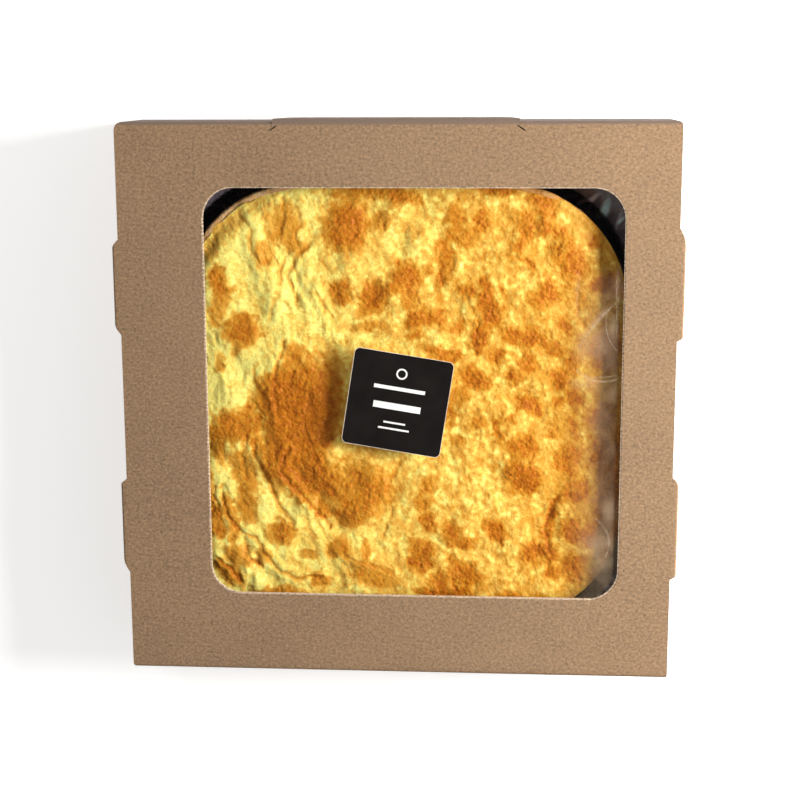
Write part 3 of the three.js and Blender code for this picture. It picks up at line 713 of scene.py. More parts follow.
def kraft_material(settings):
    """Brown liner paper with the faint washboard of the flutes under it."""
    material, tree, shader = new_material("kraft_liner")
    place = place_of(tree)
    tint, height = paper_fibre(tree, place, 1.0)
    base = mix_of(tree, 1.0, tuple(settings.kraft), tint, "MULTIPLY")
    # Painted shade: the liner is darker and greyer where it is folded down at +Y, for the shade on
    # the fold
    painted_fold_shade = spread(tree, axis_of(tree, place, "Y"), 0.1495, 0.1508, 0.0, 1.0, True)
    base = mix_of(tree, painted_fold_shade, base, (0.150, 0.105, 0.080, 1))
    ribs = bump_of(tree, flutes_of(tree, place, Distortion=0.3, Detail=1.0), 0.00003, 0.4)
    set_inputs(tree, shader, {
        "Base Color": base, "Normal": bump_of(tree, height, 0.00012, 0.8, ribs),
        "Roughness": spread(tree, height, 0.3, 0.7, 0.78, 0.92), "Specular IOR Level": 0.25})
    return material


def cut_edge_material(settings):
    """The cut edge of the board: pale paper, with painted shade making it a little darker in the
    hollows of the flutes.
    """
    material, tree, shader = new_material("cut_board_edge")
    place = place_of(tree)
    tint, height = paper_fibre(tree, place, 1.2)
    flute_hollow_shade = spread(tree, flutes_of(tree, place, Distortion=0.0), 0.55, 0.85, 1.0, 0.70, True)
    pale = tuple(k * c for k, c in zip((1.9, 2.3, 2.9), settings.kraft[:3])) + (1,)
    base = mix_of(tree, 1.0, pale, tint, "MULTIPLY")
    set_inputs(tree, shader, {
        "Base Color": mix_of(tree, 1.0, base, flute_hollow_shade, "MULTIPLY"),
        "Normal": bump_of(tree, flute_hollow_shade, 0.0004, 1.0),
        "Roughness": spread(tree, height, 0.3, 0.7, 0.85, 0.95), "Specular IOR Level": 0.2})
    return material


def film_material():
    """Clear film: what lies under it shows, with a sharp sheen, and haze where it is creased that
    is partly painted reflection.
    """
    material, tree, shader = new_material("clear_film")
    tree.nodes.remove(shader)
    place = place_of(tree)
    flat = stretched(tree, place, (1, 1, 0))
    ripple = noise_of(tree, stretched(tree, place, (60, 35, 35), 0.4), 1.0, 2, 0.5)
    normal = bump_of(tree, ripple, 0.0006, 0.5)
    clear = add_node(tree, "ShaderNodeBsdfTransparent", {"Color": (0.985, 0.99, 0.985, 1)})
    gloss = add_node(tree, "ShaderNodeBsdfGlossy", {
        "Color": (1, 1, 1, 1), "Roughness": 0.06, "Normal": normal})
    # How much each face mirrors: little seen straight on, rising steeply at a glance
    glance = add_node(
        tree, "ShaderNodeLayerWeight", {"Blend": 0.5, "Normal": normal}).outputs["Facing"]
    mirrored = sum_of(tree, "MULTIPLY_ADD", sum_of(tree, "POWER", glance, 5.0), 0.96, 0.008)
    sheen = add_node(tree, "ShaderNodeMixShader", {
        "Fac": mirrored, 1: clear.outputs[0], 2: gloss.outputs[0]})
    # Painted reflection: a milky diffuse layer, partly real haze, stands in for the film's
    # reflection, strongest in a band near its right edge
    milky_layer_and_reflection = add_node(tree, "ShaderNodeBsdfDiffuse", {"Color": (0.43, 0.31, 0.20, 1)})
    cloudy = spread(tree, noise_of(tree, place, 75, 3, 0.6), 0.35, 0.65, 0.3, 1.0)
    haze_and_reflection = spread(tree, axis_of(tree, place, "X"), 0.088, 0.112, 0.0, 0.10, True)
    haze_and_reflection = sum_of(tree, "MULTIPLY", haze_and_reflection,
                  spread(tree, axis_of(tree, place, "Y"), 0.060, 0.078, 1.0, 0.0, True))
    for *oval, amount in HAZE_AND_REFLECTION_OVALS:
        haze_and_reflection = sum_of(tree, "MULTIPLY_ADD", in_oval(tree, flat, *oval), amount, haze_and_reflection)
    haze_and_reflection = sum_of(tree, "MULTIPLY", haze_and_reflection, cloudy)
    both = add_node(tree, "ShaderNodeMixShader", {
        "Fac": haze_and_reflection, 1: sheen.outputs[0], 2: milky_layer_and_reflection.outputs[0]})
    set_inputs(tree, tree.nodes["Material Output"], {"Surface": both.outputs[0]})
    return material


def crease_material():
    """A crease in the film: a fine milky line, partly a painted highlight for the light the crease
    catches.
    """
    material, tree, shader = new_material("film_crease")
    broken = noise_of(tree, place_of(tree), 420, 2, 0.6)
    set_inputs(tree, shader, {
        "Base Color": (0.50, 0.41, 0.30, 1), "Roughness": 0.4, "Specular IOR Level": 0.2,
        "Alpha": spread(tree, broken, 0.35, 0.65, 0.02, 0.15)})
    return material


def label_material(name, tint, roughness):
    """Coated label paper with a faint orange-peel sheen."""
    material, tree, shader = new_material(name)
    place = place_of(tree)
    patchy = noise_of(tree, place, 60, 3, 0.6)
    grain = noise_of(tree, place, 1800, 2, 0.5)
    pale = tuple(1.35 * c for c in tint)
    set_inputs(tree, shader, {
        "Base Color": mix_of(tree, spread(tree, patchy, 0.35, 0.7, 0, 1), (*tint, 1), (*pale, 1)),
        "Roughness": spread(tree, patchy, 0.3, 0.7, roughness - 0.05, roughness + 0.08),
        "Normal": bump_of(tree, grain, 0.00002, 0.4), "Specular IOR Level": 0.2})
    return material


def tray_material():
    """Black coated board, glossy, with faint scuffs and painted highlights where its pleats catch
    light.
    """
    material, tree, shader = new_material("black_coated_board")
    place = place_of(tree)
    flat = stretched(tree, place, (1, 1, 0))
    scuff = noise_of(tree, stretched(tree, place, (140, 140, 60)), 1.0, 3, 0.6)
    # Painted light: the black is lifted towards grey, lighter than the board's own black, for light
    # in the tray's corners
    base = mix_of(tree, spread(tree, scuff, 0.45, 0.75, 0, 1),
                  (0.092, 0.074, 0.090, 1), (0.185, 0.152, 0.180, 1))
    streaky = spread(tree, scuff, 0.35, 0.6, 0.55, 1.1)
    # Painted highlights: each oval mixes a pale glint colour into the base
    for *oval, amount, tint in PAINTED_TRAY_GLINTS:
        painted_glint = sum_of(tree, "MULTIPLY", in_oval(tree, flat, *oval), amount)
        base = mix_of(tree, sum_of(tree, "MULTIPLY", painted_glint, streaky), base, tint)
    set_inputs(tree, shader, {
        "Base Color": base, "Roughness": spread(tree, scuff, 0.35, 0.7, 0.14, 0.30),
        "Normal": bump_of(tree, noise_of(tree, place, 160, 2, 0.5), 0.0002, 0.4),
        "Specular IOR Level": 0.6})
    return material


def pastry_material():
    """Short pastry: sandy brown with darker blotches, and dry to look at."""
    material, tree, shader = new_material("baked_pastry")
    place = place_of(tree)
    patch = noise_of(tree, place, 110, 4, 0.6)
    crumb = noise_of(tree, place, 900, 3, 0.65)
    value = sum_of(tree, "MULTIPLY_ADD", crumb, 0.45, sum_of(tree, "MULTIPLY", patch, 0.65))
    base = colour_ramp(tree, value, (
        (0.38, srgb(136, 100, 64)), (0.48, srgb(172, 132, 90)), (0.58, srgb(200, 162, 116)),
        (0.72, srgb(222, 190, 146))))
    # Dry and pale at the left, buttery and golden at the right
    golden = mix_of(tree, 1.0, base, (1.0, 0.70, 0.34, 1), "MULTIPLY")
    rightward = spread(tree, axis_of(tree, place, "X"), -0.045, 0.015, 0.0, 1.0, True)
    base = mix_of(tree, rightward, base, golden)
    blotch = spread(tree, noise_of(tree, place, 240, 3, 0.6), 0.46, 0.62, 0.0, 0.75, True)
    base = mix_of(tree, blotch, base, (0.58, 0.31, 0.11, 1))
    set_inputs(tree, shader, {
        "Base Color": base, "Roughness": spread(tree, crumb, 0.3, 0.7, 0.72, 0.92),
        "Normal": bump_of(tree, crumb, 0.0006, 0.9), "Specular IOR Level": 0.2})
    return material


# Colours of the baked top, each with the share of the surface that is paler
BAKED_TONES = (
    (0.00, (242, 229, 128)), (0.08, (239, 215, 112)), (0.20, (231, 194, 90)),
    (0.34, (220, 170, 73)), (0.50, (209, 152, 57)), (0.64, (198, 137, 42)),
    (0.77, (189, 122, 29)), (0.88, (182, 109, 20)), (0.96, (174, 98, 13)), (1.00, (160, 87, 8)),
)


def custard_material():
    """Baked custard: its colour follows how browned each place is, and butter makes it shine."""
    material, tree, shader = new_material("baked_custard")
    place = place_of(tree)
    brown = add_node(tree, "ShaderNodeAttribute", attribute_name="browned").outputs["Fac"]
    grain = noise_of(tree, place, 1000, 2, 0.6)
    mottle = noise_of(tree, place, 380, 3, 0.65)
    blister = add_node(tree, "ShaderNodeTexVoronoi", {
        "Vector": place, "Scale": 560, "Randomness": 1.0}, feature="SMOOTH_F1").outputs["Distance"]
    value = sum_of(tree, "MULTIPLY_ADD", sum_of(tree, "SUBTRACT", mottle, 0.5), 0.55, brown)
    value = sum_of(tree, "MULTIPLY_ADD", sum_of(tree, "SUBTRACT", grain, 0.5), 0.28, value)
    base = colour_ramp(tree, value, [(p, srgb(*tone)) for p, tone in BAKED_TONES])
    wet = noise_of(tree, place, 130, 3, 0.6)
    # Blisters stand out where the skin is browned; elsewhere it is finely wrinkled
    raised = sum_of(tree, "MULTIPLY", blister, spread(tree, brown, 0.4, 0.9, -0.15, -0.9))
    fine = bump_of(tree, raised, 0.0007, 0.8)
    set_inputs(tree, shader, {
        "Base Color": base, "Roughness": spread(tree, wet, 0.35, 0.7, 0.42, 0.66),
        "Normal": bump_of(tree, mottle, 0.0008, 0.7, fine), "Specular IOR Level": 0.18})
    return material


# Pieces -------------------------------------------------------------------------------------------

def round_corners(piece, half_width, half_depth):
    for (side, end), radius in CORNERS.items():
        x, y = side * half_width, end * half_depth + LID_SHIFT
        bevel_upright(piece, x * MM, y * MM, radius * MM, 5)


class QUICHEBOX_OT_walls(bpy.types.Operator):
    """Make the floor and the four walls of the box"""
    bl_idname = "quichebox.walls"
    bl_label = "Walls"

    def execute(self, context):
        box = context.scene.box_settings
        half_width, half_depth = box.width / MM / 2, box.depth / MM / 2
        board, side_wall = box.board / MM, box.side_wall / MM
        top = box.height / MM - board - 0.5
        walls = add_block("walls", (-half_width, -half_depth, 0), (half_width, half_depth, top))
        round_corners(walls, half_width, half_depth)
        edit(walls, "EDGE", lambda p: p.z < 1e-5,
             bpy.ops.mesh.bevel, offset=1.2 * MM, segments=3, profile=0.5, affect="EDGES")
        inner = add_block(
            "inner", (-half_width + side_wall, -half_depth + board, board),
            (half_width - side_wall, half_depth - board, top + 5))
        cut(walls, inner)
        dress(walls, kraft_of(context))
        smooth(walls)
        hand_over(walls, "window_box")
        return {"FINISHED"}


class QUICHEBOX_OT_lid(bpy.types.Operator):
    """Make the lid with its window, folded down at both ends"""
    bl_idname = "quichebox.lid"
    bl_label = "Lid"

    def execute(self, context):
        box = context.scene.box_settings
        half_width, half_depth = box.width / MM / 2, box.depth / MM / 2
        height, radius = box.height / MM, box.fold_radius / MM
        lid = add_sheet(
            "lid", -half_width, half_width, -half_depth + radius, half_depth - radius, height)
        edit(lid, "FACE", anywhere, bpy.ops.mesh.subdivide, number_cuts=60)
        for end in (-1, 1):
            fold_y = end * (half_depth - radius) + LID_SHIFT
            edit(lid, "EDGE", lambda p: abs(p.y - fold_y * MM) < 1e-5,
                 bpy.ops.mesh.spin, steps=6, angle=end * math.pi / 2,
                 center=(0, fold_y * MM, (height - radius) * MM), axis=(1, 0, 0))
        face_up(lid)
        apply_modifier(lid, "SOLIDIFY", thickness=box.board, offset=-1, material_offset_rim=1)
        dress(lid, kraft_of(context), cut_edge_of(context))
        # The opening, and round it a shallow step where the liner's pale edge is bared
        for grow, foot in ((0, height - 8), (LIP_WIDTH, height - LIP_DEPTH)):
            left, right = box.window_left / MM - grow, box.window_right / MM + grow
            front, back = box.window_front / MM - grow, box.window_back / MM + grow
            opening = add_block("opening", (left, front, foot), (right, back, height + 4))
            for x in (left, right):
                for y in (front, back):
                    bevel_upright(
                        opening, x * MM, (y + LID_SHIFT) * MM, box.window_corner + grow * MM, 14)
            dress(opening, kraft_of(context), cut_edge_of(context))
            for face in opening.data.polygons:
                face.material_index = 1
            cut(lid, opening)
        outline = add_block("outline", (-half_width, -half_depth, height - 12),
                            (half_width, half_depth, height + 4))
        round_corners(outline, half_width, half_depth)
        keep_inside(lid, outline)
        for x, lean in SLITS:
            slit = add_block(
                "slit", (-SLIT_HALF_WIDTH, -SLIT_HALF_LENGTH - LID_SHIFT, -2),
                (SLIT_HALF_WIDTH, SLIT_HALF_LENGTH - LID_SHIFT, 2))
            slit.rotation_euler.z = lean
            slit.location = (x * MM, (half_depth - SLIT_INSET + LID_SHIFT) * MM, height * MM)
            settle(slit)
            cut(lid, slit)
        for vertex in lid.data.vertices:
            x, y = vertex.co.x / MM, vertex.co.y / MM
            swell = 0.5 + 0.5 * math.sin(x / 47 + 1.3) * math.sin(y / 39 + 0.4)
            inside = min(half_depth - 3 - abs(y), half_width - abs(x))
            vertex.co.z -= 0.25 * MM * swell * min(1.0, max(0.0, inside / 20))
        smooth(lid)
        hand_over(lid, "window_box")
        return {"FINISHED"}


class QUICHEBOX_OT_ears(bpy.types.Operator):
    """Make the four ears that hold the lid, folded down outside the side walls"""
    bl_idname = "quichebox.ears"
    bl_label = "Ears"

    def execute(self, context):
        box = context.scene.box_settings
        half_width, height, proud = box.width / MM / 2, box.height / MM, box.ear_proud / MM
        for ear_place in EARS:
            side = ear_place["side"]
            front, back = ear_place["ends"]
            out = half_width + proud - EAR_BEND
            left, right = sorted((side * half_width, side * out))
            ear = add_sheet(ear_place["name"], left, right, front, back, height)
            pick(ear, "EDGE", lambda p: abs(p.x - side * out * MM) < 1e-5)
            bpy.ops.mesh.spin(
                steps=7, angle=-side * math.pi / 2,
                center=(side * out * MM, 0, (height - EAR_BEND) * MM), axis=(0, 1, 0))
            for move in ((0, 0, -EAR_LENGTH), (-side * (proud + 0.6), 0, -EAR_TUCK)):
                bpy.ops.mesh.extrude_region_move(
                    TRANSFORM_OT_translate={"value": [m * MM for m in move]})
            leave_edit()
            for vertex in ear.data.vertices:
                reach = min(abs(vertex.co.x) / MM - half_width, proud) / (proud + 0.1)
                if vertex.co.z < (height - EAR_BEND) * MM:
                    reach = 0.97
                drawn = 1 - math.sqrt(max(0.0, 1 - max(0.0, reach)))
                y = vertex.co.y / MM - LID_SHIFT
                if y < (front + back) / 2:
                    vertex.co.y += ear_place["ramps"][0] * drawn * MM
                else:
                    vertex.co.y -= ear_place["ramps"][1] * drawn * MM
            face_up(ear)
            dress(ear, kraft_of(context), cut_edge_of(context))
            apply_modifier(ear, "SOLIDIFY", thickness=box.board, offset=-1, material_offset_rim=1)
            smooth(ear)
            hand_over(ear, "window_box")
        return {"FINISHED"}


class QUICHEBOX_OT_closing_flap(bpy.types.Operator):
    """Make the flap that shuts the lid, folded down over the wall at +Y"""
    bl_idname = "quichebox.closing_flap"
    bl_label = "Closing flap"

    def execute(self, context):
        box = context.scene.box_settings
        half_depth, height, radius = box.depth / MM / 2, box.height / MM, box.fold_radius / MM
        fold_y = half_depth + FLAP_PROUD - radius
        flap = add_sheet(
            "closing_flap", FLAP["left"], FLAP["right"], half_depth - radius, fold_y, height)
        pick(flap, "EDGE", lambda p: abs(p.y - (fold_y + LID_SHIFT) * MM) < 1e-5)
        bpy.ops.mesh.spin(
            steps=6, angle=math.pi / 2,
            center=(0, (fold_y + LID_SHIFT) * MM, (height - radius) * MM), axis=(1, 0, 0))
        bpy.ops.mesh.extrude_region_move(
            TRANSFORM_OT_translate={"value": (0, 0, (FLAP["foot"] + radius - height) * MM)})
        leave_edit()
        foot = min(v.co.z for v in flap.data.vertices)
        for vertex in flap.data.vertices:
            if vertex.co.z < foot + 1e-6:
                vertex.co.x += math.copysign(FLAP["taper"] * MM, -vertex.co.x)
        edit(flap, "VERT", lambda p: p.z < foot + 1e-6, bpy.ops.mesh.bevel,
             offset=FLAP["corner"] * MM, segments=8, profile=0.5, affect="VERTICES")
        face_up(flap)
        dress(flap, kraft_of(context), cut_edge_of(context))
        apply_modifier(
            flap, "SOLIDIFY", thickness=FLAP_PROUD * MM, offset=-1, material_offset_rim=1)
        smooth(flap)
        hand_over(flap, "window_box")
        return {"FINISHED"}


class QUICHEBOX_OT_film(bpy.types.Operator):
    """Make the window film, glued under the lid"""
    bl_idname = "quichebox.film"
    bl_label = "Window film"

    def execute(self, context):
        size = FILM_HIGH - FILM_LOW
        film = add_primitive(
            "film", bpy.ops.mesh.primitive_grid_add, x_subdivisions=120, y_subdivisions=120, size=1,
            location=(FILM_LOW + FILM_HIGH) / 2)
        film.scale = (size.x, size.y, 1)
        settle(film)
        place = np.empty(len(film.data.vertices) * 3, np.float32)
        film.data.vertices.foreach_get("co", place)
        place = place.reshape(-1, 3)
        x, y = place[:, 0] / MM, place[:, 1] / MM
        slack = 0.10 * layered(x, y, 55, 101) + 0.03 * drift(x * 1.5, y * 0.4, 18, 103)
        place[:, 2] = (FILM_LOW.z + FILM_HIGH.z) / 2 + np.clip(slack, -0.12, 0.12) * MM
        film.data.vertices.foreach_set("co", place.ravel())
        dress(film, film_material())
        apply_modifier(film, "SOLIDIFY", thickness=FILM_FOIL * MM, offset=0)
        smooth(film, 60)
        hand_over(film, "window_film")
        creases = join([self.crease(*crease) for crease in FILM_CREASES], "film_creases")
        dress(creases, crease_material())
        smooth(creases, 60)
        hand_over(creases, "window_film")
        return {"FINISHED"}

    @staticmethod
    def crease(points, width):
        """A fine raised line on the film, thinning out at its ends."""
        line = add_primitive("film_crease", bpy.ops.curve.primitive_nurbs_path_add)
        spline = line.data.splines[0]
        spline.points.add(max(0, len(points) - len(spline.points)))
        last = len(spline.points) - 1
        for number, point in enumerate(spline.points):
            step = number / last * (len(points) - 1)
            low = min(int(step), len(points) - 2)
            x, y = (start + (end - start) * (step - low)
                    for start, end in zip(points[low], points[low + 1]))
            point.co = (x * MM, (y + LID_SHIFT) * MM, FILM_HIGH.z, 1)
            point.radius = 0.35 + 0.65 * math.sin(math.pi * number / last)
        spline.resolution_u = 8
        line.data.bevel_depth = 1.8 * width * MM
        line.data.bevel_resolution = 1
        bpy.ops.object.convert(target="MESH")
        for vertex in line.data.vertices:
            vertex.co.z = FILM_HIGH.z + 0.25 * (vertex.co.z - FILM_HIGH.z)
        return line


class QUICHEBOX_OT_label(bpy.types.Operator):
    """Make the dark label on the film, with a plain ring and bars where a print would be"""
    bl_idname = "quichebox.label"
    bl_label = "Label"

    def execute(self, context):
        width, depth = LABEL_WIDTH, LABEL_DEPTH
        level, thick = LABEL_LOW.z / MM, (LABEL_HIGH.z - LABEL_LOW.z) / MM
        middle = Vector((LABEL_MIDDLE[0], LABEL_MIDDLE[1] + LID_SHIFT, 0)) * MM
        label = add_block("label_sheet", (-width / 2, -depth / 2 - LID_SHIFT, level),
                          (width / 2, depth / 2 - LID_SHIFT, level + thick * 0.6))
        for x in (-width / 2, width / 2):
            for y in (-depth / 2, depth / 2):
                bevel_upright(label, x * MM, y * MM, LABEL_CORNER * MM, 8)
        edit(label, "FACE", lambda p: p.z > (level + thick * 0.5) * MM,
             bpy.ops.mesh.inset, thickness=0.2 * MM)
        dress(label, label_material("label_black", (0.0060, 0.0048, 0.0045), 0.36),
              label_material("label_core", (0.60, 0.52, 0.44), 0.7))
        top = max(label.data.polygons, key=lambda f: f.area if f.normal.z > 0.9 else 0)
        for face in label.data.polygons:
            face.material_index = 0 if face == top else 1
        ink = label_material("label_ink", (0.62, 0.62, 0.60), 0.45)
        marks = [
            add_block("bar", (left, front - LID_SHIFT, level + thick * 0.6),
                      (right, back - LID_SHIFT, level + thick * 0.72))
            for left, right, front, back in LABEL_BARS]
        ring = add_primitive(
            "ring", bpy.ops.mesh.primitive_torus_add, major_radius=RING_RADIUS * MM,
            minor_radius=RING_LINE * MM, major_segments=40, minor_segments=8,
            location=(0, RING_HEIGHT * MM, (level + thick * 0.6) * MM))
        ring.scale.z = 0.06
        marks.append(settle(ring))
        print_piece = join(marks, "label_print")
        dress(print_piece, ink)
        for piece in (label, print_piece):
            piece.rotation_euler.z = math.radians(LABEL_TURN)
            piece.location = middle
            settle(piece)
            hand_over(piece, "label")
        return {"FINISHED"}


class QUICHEBOX_OT_tray(bpy.types.Operator):
    """Make the black tray, its edges and pleats rounded"""
    bl_idname = "quichebox.tray"
    bl_label = "Tray"

    def execute(self, context):
        tray = copy_of_node("tray", "tray_board")
        apply_modifier(tray, "BEVEL", width=0.5 * MM, segments=2, limit_method="ANGLE",
                       angle_limit=math.radians(20))
        dress(tray, tray_material())
        smooth(tray, 50)
        hand_over(tray, "tray")
        return {"FINISHED"}


def points_of(piece):
    place = np.empty(len(piece.data.vertices) * 3, np.float32)
    piece.data.vertices.foreach_get("co", place)
    return place.reshape(-1, 3).astype(float)


def put_points(piece, place):
    piece.data.vertices.foreach_set("co", place.astype(np.float32).ravel())


def quiche_ring(food, inset, per_corner=48):
    """Points round the quiche, in millimetres from its middle, with the angle of each. inset gives
    how far a point is set in from the outline at its angle."""
    points, angles = [], []
    for quarter, corner in enumerate(food.corners):
        turn, arm = quarter * math.pi / 2, (food.half - corner) / MM
        angle = turn + np.linspace(0, math.pi / 2, per_corner)
        reach = corner / MM - inset(angle)
        cx, cy = arm * (math.cos(turn) - math.sin(turn)), arm * (math.sin(turn) + math.cos(turn))
        points.append(np.stack((cx + reach * np.cos(angle), cy + reach * np.sin(angle)), 1))
        angles.append(angle)
    return np.concatenate(points), np.concatenate(angles)


def reach_of(ring, turn):
    """How far a ring of points is from its middle in each direction."""
    after = np.roll(ring, -1, axis=0)
    dense = np.concatenate([ring + (after - ring) * t for t in np.linspace(0, 0.95, 20)])
    return np.interp(turn, *sorted_by_turn(dense), period=2 * math.pi)


def sorted_by_turn(ring):
    turn = np.arctan2(ring[:, 1], ring[:, 0])
    order = np.argsort(turn)
    return turn[order], np.hypot(*ring[order].T)


def bare_rim(angle):
    """Width of the rim that the custard leaves bare: wide at the back left, else a thin line."""
    towards = (0.5 + 0.5 * np.cos(angle - BACK_LEFT)) ** 3
    return 0.3 + towards * (3.6 + 0.5 * np.sin(23 * angle) + 0.35 * np.sin(41 * angle + 1.0))


def rim_wave(angle):
    """How the rim rises and falls round the quiche, in millimetres."""
    return 0.5 * (np.sin(5 * angle + 0.6) + 0.6 * np.sin(11 * angle))


class QUICHEBOX_OT_pastry(bpy.types.Operator):
    """Make the pastry case with its uneven rim"""
    bl_idname = "quichebox.pastry"
    bl_label = "Pastry case"

    def execute(self, context):
        food = context.scene.food_settings
        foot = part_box("pastry_case")[0].z / MM
        rim, wall, uneven = food.rim_top / MM, food.wall / MM, food.uneven_wall / MM
        # The wall in section: up its outside, over the rim and down its inside. Each step gives how
        # far it is set in, as millimetres and as a share of the wall, and its height.
        section = (
            (7.5, 0, foot), (5.5, 0, foot + 1.2), (2.5, 0, foot + 5), (1.6, 0, foot + 12),
            (1.0, 0, foot + 20), (0.6, 0, rim - 6), (0.35, 0, rim - 2.8), (0.4, 0, rim - 1.6),
            (0.7, 0, rim - 0.7), (1.3, 0, rim - 0.15), (0, 0.42, rim), (0, 0.62, rim - 0.1),
            (0, 0.82, rim - 0.6), (0, 0.95, rim - 1.6), (0, 1.0, rim - 3), (0, 1.0, foot + 4))
        rows = 3 * (len(section) - 1)
        step = np.linspace(0, len(section) - 1, rows + 1)
        set_in, share, height = (np.interp(step, np.arange(len(section)), column)
                                 for column in np.array(section).T)
        columns = 4 * 90
        pastry = add_primitive(
            "pastry", bpy.ops.mesh.primitive_grid_add, x_subdivisions=columns,
            y_subdivisions=rows, size=2)
        place = points_of(pastry)
        around = np.rint((place[:, 0] + 1) / 2 * columns).astype(int) % columns
        row = np.rint((place[:, 1] + 1) / 2 * rows).astype(int)
        for index in range(rows + 1):
            ring, angle = quiche_ring(food, lambda a: set_in[index] + share[index] * (
                wall + uneven * np.cos(a - BACK_LEFT)), columns // 4)
            on_row = row == index
            x, y = ring[around[on_row]].T
            a = angle[around[on_row]]
            near_rim = ramp(np.full_like(x, height[index]), rim - 8, rim - 1)
            wave = rim_wave(a) * near_rim
            crumbly = 0.35 * layered(x, y + 3 * height[index], 5, 121) + 0.25 * drift(x, y, 14, 127)
            swell = 1 + (crumbly - 0.3) / np.hypot(x, y)
            place[on_row, 0] = (x * swell + food.middle[0] / MM) * MM
            place[on_row, 1] = (y * swell + food.middle[1] / MM + LID_SHIFT) * MM
            place[on_row, 2] = (height[index] + wave + 0.5 * near_rim * crumbly) * MM
        put_points(pastry, place)
        edit(pastry, "VERT", anywhere, bpy.ops.mesh.remove_doubles, threshold=1e-6)
        for level in (foot * MM, (foot + 4) * MM):
            edit(pastry, "EDGE", lambda p: abs(p.z - level) < 1e-6, bpy.ops.mesh.edge_face_add)
        edit(pastry, "FACE", anywhere, bpy.ops.mesh.normals_make_consistent, inside=False)
        dress(pastry, pastry_material())
        smooth(pastry, 60)
        hand_over(pastry, "pastry_case")
        return {"FINISHED"}


class QUICHEBOX_OT_custard(bpy.types.Operator):
    """Make the baked custard: blistered, creased and browned in patches"""
    bl_idname = "quichebox.custard"
    bl_label = "Custard"

    def execute(self, context):
        food = context.scene.food_settings
        middle = np.array(food.middle) + np.array((0, LID_SHIFT * MM))
        custard = add_primitive(
            "custard", bpy.ops.mesh.primitive_grid_add, x_subdivisions=food.cells,
            y_subdivisions=food.cells, size=2)
        place = points_of(custard)
        ring, _ = quiche_ring(food, bare_rim)
        u, v = place[:, 0], place[:, 1]
        turn = np.arctan2(v, u)
        reach = np.maximum(np.abs(u), np.abs(v)) * reach_of(ring, turn) * MM
        place[:, 0] = middle[0] + reach * np.cos(turn)
        place[:, 1] = middle[1] + reach * np.sin(turn)
        place[:, 2] = 0.046
        put_points(custard, place)
        apply_modifier(
            custard, "SHRINKWRAP", target=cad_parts["custard_filling"], wrap_method="PROJECT",
            use_project_z=True, use_negative_direction=True, use_positive_direction=False)
        place = points_of(custard)
        inner = self.inside_by(place, ring, middle)
        lip = food.rim_top + 0.5 * MM
        place[:, 2] = np.where(place[:, 2] > 0.0455, lip, place[:, 2])
        place[:, 2] = lip + (place[:, 2] - lip) * ramp(inner, 0.5, 7)
        put_points(custard, place)
        apply_modifier(custard, "SMOOTH", factor=0.5, iterations=10, use_x=False, use_y=False)
        place = points_of(custard)
        x, y = place[:, 0] / MM, place[:, 1] / MM - LID_SHIFT
        raw = browning(x, y)
        # The shade of each place is its rank among those seen through the window
        seen = np.sort(raw[(np.abs(x - 9) < 112) & (np.abs(y - 5) < 112)])
        share = np.interp(raw, seen, np.linspace(0, 1, len(seen)))
        edge = ramp(inner, 0.0, 4.5)
        relief = baked_relief(x, y, share)
        place[:, 2] += MM * (relief * edge + (rim_wave(turn) - 0.25) * (1 - edge) ** 2)
        put_points(custard, place)
        # Painted shade: hollows of the skin are a little darker than its crests, and steep places
        # are browner, for the warm shade on its slopes and in its hollows
        steep_shade = np.hypot(
            baked_relief(x + 0.8, y, share) - relief, baked_relief(x, y + 0.8, share) - relief)
        share = share - 0.14 * (relief - swells(x, y))
        share = np.clip(share + 0.55 * np.clip(steep_shade - 0.08, 0, 0.5), 0, 1)
        browned = custard.data.attributes.new("browned", "FLOAT", "POINT")
        browned.data.foreach_set("value", share.astype(np.float32))
        pick(custard, "FACE", anywhere)
        bpy.ops.mesh.region_to_loop()
        bpy.ops.mesh.extrude_edges_move(TRANSFORM_OT_translate={"value": (0, 0, -0.012)})
        leave_edit()
        dress(custard, custard_material())
        smooth(custard, 80)
        hand_over(custard, "custard_filling")
        return {"FINISHED"}

    @staticmethod
    def inside_by(place, ring, middle):
        """How far each point is inside a ring, in millimetres."""
        across = (place[:, :2] - middle) / MM
        return reach_of(ring, np.arctan2(across[:, 1], across[:, 0])) - np.hypot(*across.T)


